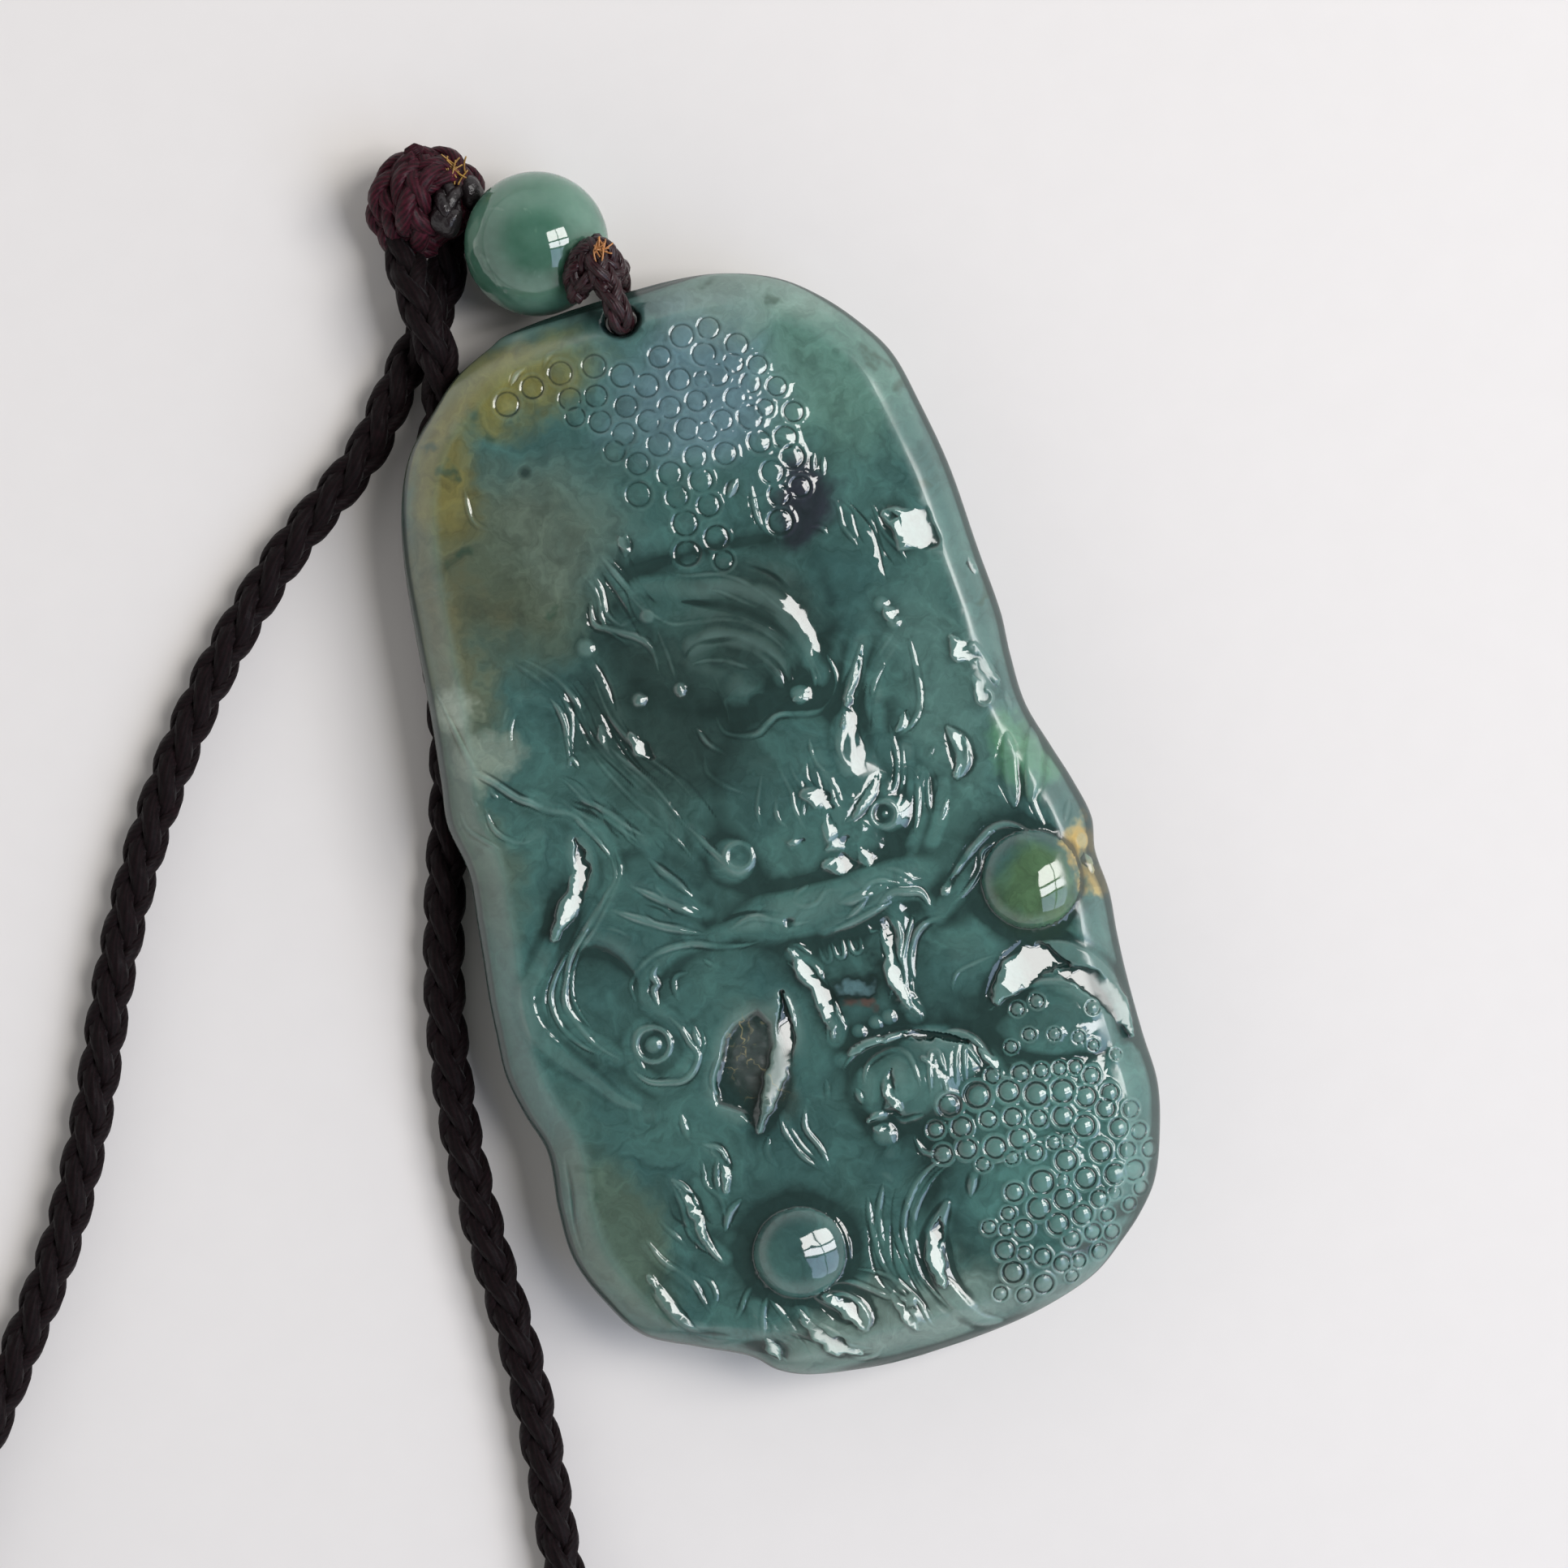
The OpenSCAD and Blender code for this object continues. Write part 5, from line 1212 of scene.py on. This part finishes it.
def packedScales():  # the placed scales, and smaller ones drilled wherever there is room
    tries, smallest, largest, closeness = 4000, 0.46, 0.66, 0.9
    rng = np.random.default_rng(31)
    field = np.array(scaleField + scaleField[:1], float)
    scales = np.array(lowerScales)
    places = rng.uniform(field.min(0), field.max(0), (tries, 2))
    sizes = rng.uniform(smallest, largest, tries)
    within = inside(places[:, 0], places[:, 1], field)
    for (mx, my), radius in zip(places[within], sizes[within]):
        room = np.hypot(scales[:, 0] - mx, scales[:, 1] - my) - closeness * (scales[:, 2] + radius)
        if room.min() > 0:
            scales = np.vstack([scales, (mx, my, radius)])
    return scales


def scaleRelief(x, y):
    raised, cut = np.zeros_like(x), np.zeros_like(x)
    for scales, (knob, ring, depth) in ((packedScales(), plaque["lowerScaleRise"]),
                                        (upperScales, plaque["upperScaleRise"])):
        for mx, my, radius in scales:
            reach = radius * 1.3
            spot = near(x, y, (mx - reach, my - reach), (mx + reach, my + reach))
            q = np.hypot(x[spot] - mx, y[spot] - my) / radius
            height = np.maximum(knob * np.maximum(0, 1 - (q / 0.76) ** 2),
                                ring * np.maximum(0, 1 - ((q - 1) / 0.2) ** 2))
            raised[spot] = np.maximum(raised[spot], height)
            cut[spot] = np.maximum(cut[spot], depth * np.maximum(0, 1 - ((q - 0.82) / 0.14) ** 2))
    return raised - cut * np.exp(-raised / 0.04)


def pocketFloor(x, y, seed):  # a sunk patch that was left rough
    edge = np.array(pocketEdge + pocketEdge[:1], float)
    spot = near(x, y, edge.min(0), edge.max(0))
    px, py = x[spot], y[spot]
    gap = toLine(px, py, edge)[0]
    depth = np.where(inside(px, py, edge), clamp01(gap / 0.4), 0)
    rough = (softNoise(px, py, 0.35, seed) * plaque["pocketRough"]
             + softNoise(px + 3 * py, py, 0.5, seed + 1) * plaque["pocketRough"])
    height = np.zeros_like(x)
    height[spot] = -plaque["pocketDepth"] * depth + rough * depth
    return height


def softNoise(x, y, cell, seed):  # smooth random waviness, about -1 to 1
    lattice = np.random.default_rng(seed).uniform(-1, 1, (257, 257))
    u, v = x / cell + 500.5, y / cell + 500.5
    i, j = np.floor(u).astype(int), np.floor(v).astype(int)
    s, t = u - i, v - j
    s, t = s * s * (3 - 2 * s), t * t * (3 - 2 * t)
    i, j = i % 256, j % 256
    return ((lattice[i, j] * (1 - s) + lattice[i + 1, j] * s) * (1 - t)
            + (lattice[i, j + 1] * (1 - s) + lattice[i + 1, j + 1] * s) * t)


def faceHeights(x, y, d):  # d is the distance to the rim
    p = plaque
    swell = np.maximum(0, 1 - (x / halfWidth) ** 2 - (y / halfLength) ** 2)
    plain = p["faceHeight"] - p["rimHeight"] + p["bulge"] * swell
    carving = (p["formShare"] * mounds(x, y, broadForms, 1.5) - mounds(x, y, hollows, 1.2)
               + p["strokeShare"] * broadRidges(x, y))
    carving = np.maximum(carving, pearlDomes(x, y))
    fade = clamp01((d - p["bareWidth"]) / p["carvingFade"])
    fine = fineRelief(x, y) + scaleRelief(x, y) + pocketFloor(x, y, 21)
    wavy = p["polish"] * sum(share * softNoise(x, y, size, seed) for size, share, seed in p["waves"])
    return (p["rimHeight"] + plain * rolled(d / p["faceRoll"])
            + p["carvingHeight"] / 100 * carving * fade + fine * clamp01(d / 0.8)
            + wavy * clamp01(d / 1.5))


def backHeights(d):  # flat, with a wide roll and a small radius under the rim
    p = plaque
    return ((p["rimHeight"] - p["underRadius"]) * (1 - clamp01(d / p["backRoll"])) ** 2
            + p["underRadius"] * (1 - quarter(d / p["underRadius"])))


def blurred(height, cells):  # moving average, three times each way
    out = height
    for axis in (0, 1):
        for _ in range(3):
            padding = [(cells, cells) if k == axis else (0, 0) for k in (0, 1)]
            sums = np.cumsum(np.pad(out, padding, mode="edge"), axis=axis)
            first = np.take(sums, [0], axis=axis) * 0
            sums = np.concatenate([first, sums], axis=axis)
            size = out.shape[axis]
            wide = 2 * cells + 1
            out = (np.take(sums, range(wide, wide + size), axis=axis)
                   - np.take(sums, range(0, size), axis=axis)) / wide
    return out


def plaqueSurface():
    p = plaque
    crowding = p["crowding"]
    y = halfLength * crowded(np.arange(1, p["rows"]) / p["rows"], crowding["rows"])
    left, right = edgeAt(y, 1), edgeAt(y, 2)
    middle, half, step = (left + right) / 2, (right - left) / 2, 0.2
    slope = (edgeAt(y - step, 2) - edgeAt(y + step, 2) - edgeAt(y - step, 1) + edgeAt(y + step, 1)) / 4 / step
    lean = 1 / np.sqrt(1 + slope ** 2)
    front = crowded(np.arange(p["columns"] + 1) / p["columns"], crowding["front"])
    back = crowded(np.arange(1, p["backColumns"] + 1) / (p["backColumns"] + 1), crowding["back"])
    column = y[:, None]
    edges = left[:, None], right[:, None], lean[:, None]
    frontX = middle[:, None] - half[:, None] * front
    frontY = np.broadcast_to(column, frontX.shape)
    d = rimDistance(frontX, frontY, *edges)
    frontZ = cutFacesInto(faceHeights(frontX, frontY, d), frontX, frontY)
    frontZ[:, 0] = frontZ[:, -1] = p["rimHeight"]
    backX = middle[:, None] + half[:, None] * back
    backY = np.broadcast_to(column, backX.shape)
    backZ = backHeights(rimDistance(backX, backY, *edges))
    x, yy, z = np.hstack([frontX, backX]), np.hstack([frontY, backY]), np.hstack([frontZ, backZ])
    points = np.stack([x, yy, z], -1).reshape(-1, 3)
    ends = [(edgeAt(np.array([s * halfLength]), 1)[0], s * halfLength, p["rimHeight"]) for s in (1, -1)]
    rows, around = x.shape
    faces = ringFaces(rows, around)
    top, bottom, base = len(points), len(points) + 1, (rows - 1) * around
    faces += [(top, j, (j + 1) % around) for j in range(around)]
    faces += [(bottom, base + (j + 1) % around, base + j) for j in range(around)]
    # how far each place lies above the stone around it, near by and farther off; the material paints shade in
    # the cuts and highlights on the ridges from it
    cavity = frontZ - blurred(frontZ, 5) + 0.28 * np.minimum(0, frontZ - blurred(frontZ, 18))
    cavity /= np.maximum(0.55, calmness(frontX, frontY))  # light cuts get as much painted shade as deep ones
    cavity = np.where(pearlDomes(frontX, frontY) > 0, 0, cavity)  # no painted shade or highlight on the pearls
    grid = {"y": y, "middle": middle, "half": half, "front": front, "cavity": cavity, "edge": d}
    return (np.vstack([points, ends]), faces, None), grid


def sampled(grid, values, x, y):  # value of the face's grid at places on it
    row = np.interp(-y, -grid["y"], np.arange(len(grid["y"])))
    middle = np.interp(-y, -grid["y"], grid["middle"])
    half = np.interp(-y, -grid["y"], grid["half"])
    share = (middle - x) / half
    column = np.interp(-share, -grid["front"], np.arange(len(grid["front"])))
    i = np.minimum(row.astype(int), len(grid["y"]) - 2)
    j = np.minimum(column.astype(int), len(grid["front"]) - 2)
    s, t = row - i, column - j
    return ((values[i, j] * (1 - s) + values[i + 1, j] * s) * (1 - t)
            + (values[i, j + 1] * (1 - s) + values[i + 1, j + 1] * s) * t)


def withModifier(piece, kind, **settings):  # adds a modifier and keeps its result in the mesh
    modifier = piece.modifiers.new(kind.lower(), kind)
    for name, value in settings.items():
        setattr(modifier, name, value)
    evaluated = piece.evaluated_get(bpy.context.evaluated_depsgraph_get())
    mesh = bpy.data.meshes.new_from_object(evaluated)
    piece.modifiers.clear()
    piece.data = mesh


def drillHole(piece):
    # drilled from both faces, the mouths slightly flared by the cord and the polish
    sides, (x, y) = 40, plaque["holePlace"]
    profile = [(height, plaque["holeDiameter"] / 2 + flare) for height, flare in plaque["holeProfile"]]
    points = [(x + r * math.cos(a), y + r * math.sin(a), z) for z, r in profile for a in turns(sides)]
    faces = [(i * sides + k, i * sides + (k + 1) % sides, (i + 1) * sides + (k + 1) % sides,
              (i + 1) * sides + k) for i in range(len(profile) - 1) for k in range(sides)]
    faces.append(tuple(reversed(range(sides))))
    faces.append(tuple((len(profile) - 1) * sides + k for k in range(sides)))
    drill = meshPiece("drill", (points, faces, None), piece.data.materials[0])
    withModifier(piece, "BOOLEAN", operation="DIFFERENCE", solver="MANIFOLD", object=drill)
    bpy.data.objects.remove(drill)


# stains of the stone, with a painted shade and a painted reflection among them: x, y, reach x, reach y,
# strength, colour
stainsAndPaintedLight = [
    # the near-black oval in the mouth's hollow at (3, -10.3) is painted shade
    (-3.5, 8, 7, 8, 0.8, "22322d"), (3.5, 12, 5, 4.5, 0.8, "22322d"), (3, -10.3, 1.9, 2, 0.85, "0e1a18"),
    (3, -10.1, 0.9, 0.6, 0.7, "688c90"), (12.5, 5, 4, 8, 0.5, "5b7b73"),
    (-10, 19, 7, 7, 0.7, "4f4f38"), (-14.8, 16, 3, 9, 0.6, "6a6444"), (-16.5, 6, 2.6, 10, 0.5, "5e6450"),
    (-8, 29.5, 7.5, 3.2, 0.85, "7b753a"), (-12.5, 25.5, 3.2, 5, 0.75, "776c33"),
    # the bluish-grey oval at (4, 25.5) over the upper scales is a painted reflection of the room's soft sheen
    (4, 25.5, 7, 5.5, 0.65, "66808a"), (12, 25, 6, 7, 0.55, "668a7a"), (7.6, 17.4, 2.5, 3, 0.9, "25222e"),
    (-15.5, 12, 1.5, 2.2, 0.55, "a9b5a6"), (-14.5, 8.5, 2, 1.8, 0.4, "a3b0a0"),
    (16, -0.2, 1.8, 2.8, 0.5, "5f9468"), (17.9, -6.2, 1.1, 1.3, 0.8, "c2a050"),
    (18, -8.7, 1, 1.3, 0.7, "bd9c52"), (14.3, -7.8, 3.4, 3.2, 0.85, "4c6844"),
    (-5, -24.2, 3, 2.9, 0.35, "2a4442"), (-4.2, -12.9, 2.4, 3.4, 0.85, "48534a"),
    (11.5, -24, 7, 8, 0.42, "588880"),
    (-15, -20, 3, 8, 0.5, "5c6650"), (-2, -29.8, 9, 2.8, 0.5, "7d8c80"),
    (3.2, -11.6, 0.9, 0.7, 0.5, "6a4a40"), (-6, 20, 5, 6, 0.3, "6f8278"),
    (3, -31, 12, 2.5, 0.35, "7a8c84"), (10, 30, 8, 3, 0.4, "93a89c")]
pocket = {"middle": (-4.1, -12.9), "reach": (2.2, 3.2)}
# dark specks, about 1 mm across
specks = [(-12.5, 27), (-11.5, 25.2), (-12.5, 20), (-9, 16.3), (10, 29.2), (14, 24.5), (15, 22.5),
          (16.8, 9), (16, 16.5), (-15.3, -18), (-14.4, -26.3), (7.1, 31), (-8.4, 26.9), (-15.2, -16.2)]


def ovalDistance(tree, place, x, y, reachX, reachY):  # 0 at the middle of an oval, 1 at its edge
    local = addNode(tree, "ShaderNodeVectorMath",
                    {0: place, 1: (1 / reachX, 1 / reachY, 0), 2: (-x / reachX, -y / reachY, 0)},
                    operation="MULTIPLY_ADD").outputs[0]
    return addNode(tree, "ShaderNodeVectorMath", {0: local}, operation="LENGTH").outputs["Value"]


def carvedJade():
    # jadeite in several greens, cut with burrs and polished by hand until it looks wet:
    # light goes into it and comes out soft, and the window shows as hard white lines
    material, tree = newMaterial("carved_jadeite_hand_polished")
    place = addNode(tree, "ShaderNodeTexCoord").outputs["Object"]
    place = addNode(tree, "ShaderNodeVectorMath", {0: place, "Scale": 1 / mm}, operation="SCALE").outputs[0]
    # colours wander by some 3 mm, in clouds about 8 mm across, and don't change with depth
    warp = addNode(tree, "ShaderNodeTexNoise",
                   {"Vector": place, "Scale": 0.22, "Detail": 4, "Roughness": 0.6}).outputs["Color"]
    warp = addNode(tree, "ShaderNodeVectorMath", {0: warp, 1: (7, 7, 0), 2: (-3.5, -3.5, 0)},
                   operation="MULTIPLY_ADD").outputs[0]
    flat = addNode(tree, "ShaderNodeVectorMath", {0: place, 1: (1, 1, 0)}, operation="MULTIPLY").outputs[0]
    wandered = addNode(tree, "ShaderNodeVectorMath", {0: flat, 1: warp}, operation="ADD").outputs[0]
    clouds = addNode(tree, "ShaderNodeTexNoise",
                     {"Vector": wandered, "Scale": 0.13, "Detail": 5, "Roughness": 0.6}).outputs["Fac"]
    fibre = addNode(tree, "ShaderNodeTexNoise",
                    {"Vector": wandered, "Scale": 0.75, "Detail": 6, "Roughness": 0.65,
                     "Distortion": 0.6}).outputs["Fac"]
    cracks = addNode(tree, "ShaderNodeTexVoronoi", {"Vector": wandered, "Scale": 0.8},
                     feature="DISTANCE_TO_EDGE").outputs["Distance"]
    edge = addNode(tree, "ShaderNodeAttribute", attribute_name="edge").outputs["Fac"]
    cavity = addNode(tree, "ShaderNodeAttribute", attribute_name="cavity").outputs["Fac"]
    fromPocket = ovalDistance(tree, flat, *pocket["middle"], *pocket["reach"])
    ramps = {  # from what, its range, and what that becomes
        "spread": (clouds, 0.3, 0.7, 0, 1),
        "grain": (fibre, 0.3, 0.7, 0.7, 1.25),  # interlocked fibres of the stone, 0.5 to 1.5 mm long
        "rim": (edge, 0.1, 1.4, 0.3, 0),  # painted light: lighter and greyer near the rim, where light comes through the thin stone
        # painted highlight: ridges and knobs lighter than the stone around them
        "raised": (cavity, 0.006, 0.07, 0, 0.26),
        "sunk": (cavity, -0.06, -0.005, 0.78, 0),  # painted shade in the cuts
        "dull": (fromPocket, 0.5, 1, 0.45, 0.05),  # the pocket's floor is the one rough place
        "worn": (edge, 2.2, 2.7, 0.27, 0.05),  # handling left the rim a sheen and no hard line
        "crack": (cracks, 0.01, 0.05, 0.7, 0),  # iron stains run in the pocket's cracks, here and there
        "inPocket": (fromPocket, 0.7, 0.95, 1, 0),
        "broken": (fibre, 0.48, 0.6, 0, 1),
    }
    share = {}
    for name, (value, low, high, atLow, atHigh) in ramps.items():
        ramp = addNode(tree, "ShaderNodeMapRange", {"Value": value, "From Min": low, "From Max": high,
                                                    "To Min": atLow, "To Max": atHigh},
                       interpolation_type="SMOOTHSTEP" if name == "rim" else "LINEAR")
        share[name] = ramp.outputs["Result"]
    layers = [(share["spread"], "496e67")]
    for x, y, reachX, reachY, strength, tone in stainsAndPaintedLight:
        away = ovalDistance(tree, wandered, x, y, reachX, reachY)
        layers.append((addNode(tree, "ShaderNodeMapRange", {"Value": away, "From Min": 0.35, "From Max": 1.15,
                                                            "To Min": strength, "To Max": 0},
                               interpolation_type="SMOOTHSTEP").outputs["Result"], tone))
    for x, y in specks:
        away = addNode(tree, "ShaderNodeVectorMath", {0: wandered, 1: (x, y, 0)},
                       operation="DISTANCE").outputs["Value"]
        layers.append((addNode(tree, "ShaderNodeMapRange", {"Value": away, "From Min": 0.1, "From Max": 0.75,
                                                            "To Min": 0.75, "To Max": 0},
                               interpolation_type="SMOOTHSTEP").outputs["Result"], "30483a"))
    for step in ("inPocket", "broken"):
        share["crack"] = addNode(tree, "ShaderNodeMath", {0: share["crack"], 1: share[step]},
                                 operation="MULTIPLY").outputs[0]
    # painted light on the thin rim and on the ridges, painted shade in the cuts
    layers += [(share["grain"], None), (share["rim"], "74877f"), (share["raised"], "7f9c94"),
               (share["sunk"], "132522"), (share["crack"], "8a8058")]
    color = linearColor("2e4e4c")
    for amount, tone in layers:
        if tone is None:  # lightens and darkens what is there
            color = addNode(tree, "ShaderNodeVectorMath", {0: color, "Scale": amount},
                            operation="SCALE").outputs[0]
        else:
            color = addNode(tree, "ShaderNodeMix", {0: amount, 6: color, 7: linearColor(tone)},
                            data_type="RGBA").outputs[2]
    rough = addNode(tree, "ShaderNodeMath", {0: share["dull"], 1: share["worn"]},
                    operation="MAXIMUM").outputs[0]
    surface = addNode(tree, "ShaderNodeBsdfPrincipled",
                      {"Base Color": color, "Roughness": rough, "IOR": 1.66,
                       "Subsurface Weight": 0.3, "Subsurface Radius": (0.6, 1.0, 0.9),
                       "Subsurface Scale": 0.7 * mm}).outputs[0]
    finishMaterial(tree, surface)
    return material


def makePlaque():
    shape, grid = plaqueSurface()
    count = len(shape[0])
    piece = meshPiece("jade_plaque", shape, carvedJade())
    print("plaque surface:", count, "points")
    # keeps its triangles where the carving is fine
    withModifier(piece, "DECIMATE", ratio=plaque["keptTriangles"] / (2 * count))
    drillHole(piece)
    mesh = piece.data
    places = np.empty(len(mesh.vertices) * 3)
    mesh.vertices.foreach_get("co", places)
    x, y, z = (places.reshape(-1, 3) / mm).T
    for name in ("cavity", "edge"):
        layer = mesh.attributes.new(name, "FLOAT", "POINT")
        values = sampled(grid, grid[name], x, y)
        if name == "cavity":
            values = np.where(z > plaque["rimHeight"] - 0.01, values, 0)
        layer.data.foreach_set("value", values)
    mesh.shade_smooth()
    placed(piece, "plaque_jade", "plaque")
    print("plaque made:", len(mesh.polygons), "faces")


makePlaque()


# floor, window light and soft fill

def paperFloor():
    # matt photo paper: even and pale, with a hint of 2.5 mm grain
    material, tree = newMaterial("matt_paper_floor")
    place = addNode(tree, "ShaderNodeTexCoord").outputs["Object"]
    grain = addNode(tree, "ShaderNodeTexNoise",
                    {"Vector": place, "Scale": 0.4 / mm, "Detail": 4}).outputs["Fac"]
    dark, light = [linearColor(tone) for tone in studio["floorTones"]]
    color = addNode(tree, "ShaderNodeMix", {0: grain, 6: dark, 7: light}, data_type="RGBA").outputs[2]
    surface = addNode(tree, "ShaderNodeBsdfPrincipled",
                      {"Base Color": color, "Roughness": 0.9, "Specular IOR Level": 0.1}).outputs[0]
    finishMaterial(tree, surface)
    return material


def makeFloor():
    reach = 4000
    corners = [(-reach, -reach, 0), (reach, -reach, 0), (reach, reach, 0), (-reach, reach, 0)]
    meshPiece("floor", (corners, [(0, 1, 2, 3)], None), paperFloor())


def makeWindow():
    way, along, across = windowAxes()
    size, bar = studio["windowSize"], studio["bar"]
    reached = 0.5
    for r, (share, radiance, tone) in enumerate(studio["rows"]):
        middleAlong = (reached - share / 2) * size[0]
        reached -= share
        for c in range(studio["columns"]):
            middleAcross = ((c + 0.5) / studio["columns"] - 0.5) * size[1]
            pane = bpy.data.lights.new(f"pane_{r}_{c}", "AREA")
            pane.shape = "RECTANGLE"
            pane.size = (share - bar) * size[0]
            pane.size_y = (1 / studio["columns"] - bar) * size[1]
            pane.energy = radiance * math.pi * pane.size * pane.size_y
            pane.color = linearColor(tone)[:3]
            lamp = bpy.data.objects.new(pane.name, pane)
            place = way * studio["windowAway"] + along * middleAlong + across * middleAcross
            turn = Matrix((along, across, way)).transposed()
            lamp.matrix_world = Matrix.Translation(place) @ turn.to_4x4()
            bpy.context.scene.collection.objects.link(lamp)


def makeSky():
    world = bpy.data.worlds.new("sky")
    world.use_nodes = True
    tree = world.node_tree
    tree.nodes.clear()
    way = addNode(tree, "ShaderNodeTexCoord").outputs["Generated"]
    height = addNode(tree, "ShaderNodeSeparateXYZ", {0: way}).outputs["Z"]
    light = addNode(tree, "ShaderNodeMapRange",
                    {"Value": height, "From Min": 0.35, "From Max": 0.85, "To Min": studio["walls"],
                     "To Max": studio["ceiling"]}, interpolation_type="SMOOTHSTEP").outputs["Result"]
    sky = addNode(tree, "ShaderNodeBackground", {"Color": (1, 1, 1, 1), "Strength": light}).outputs[0]
    addNode(tree, "ShaderNodeOutputWorld", {"Surface": sky})
    bpy.context.scene.world = world
    bpy.context.scene.view_settings.view_transform = "Standard"


makeFloor()
makeWindow()
makeSky()
print("studio lit")
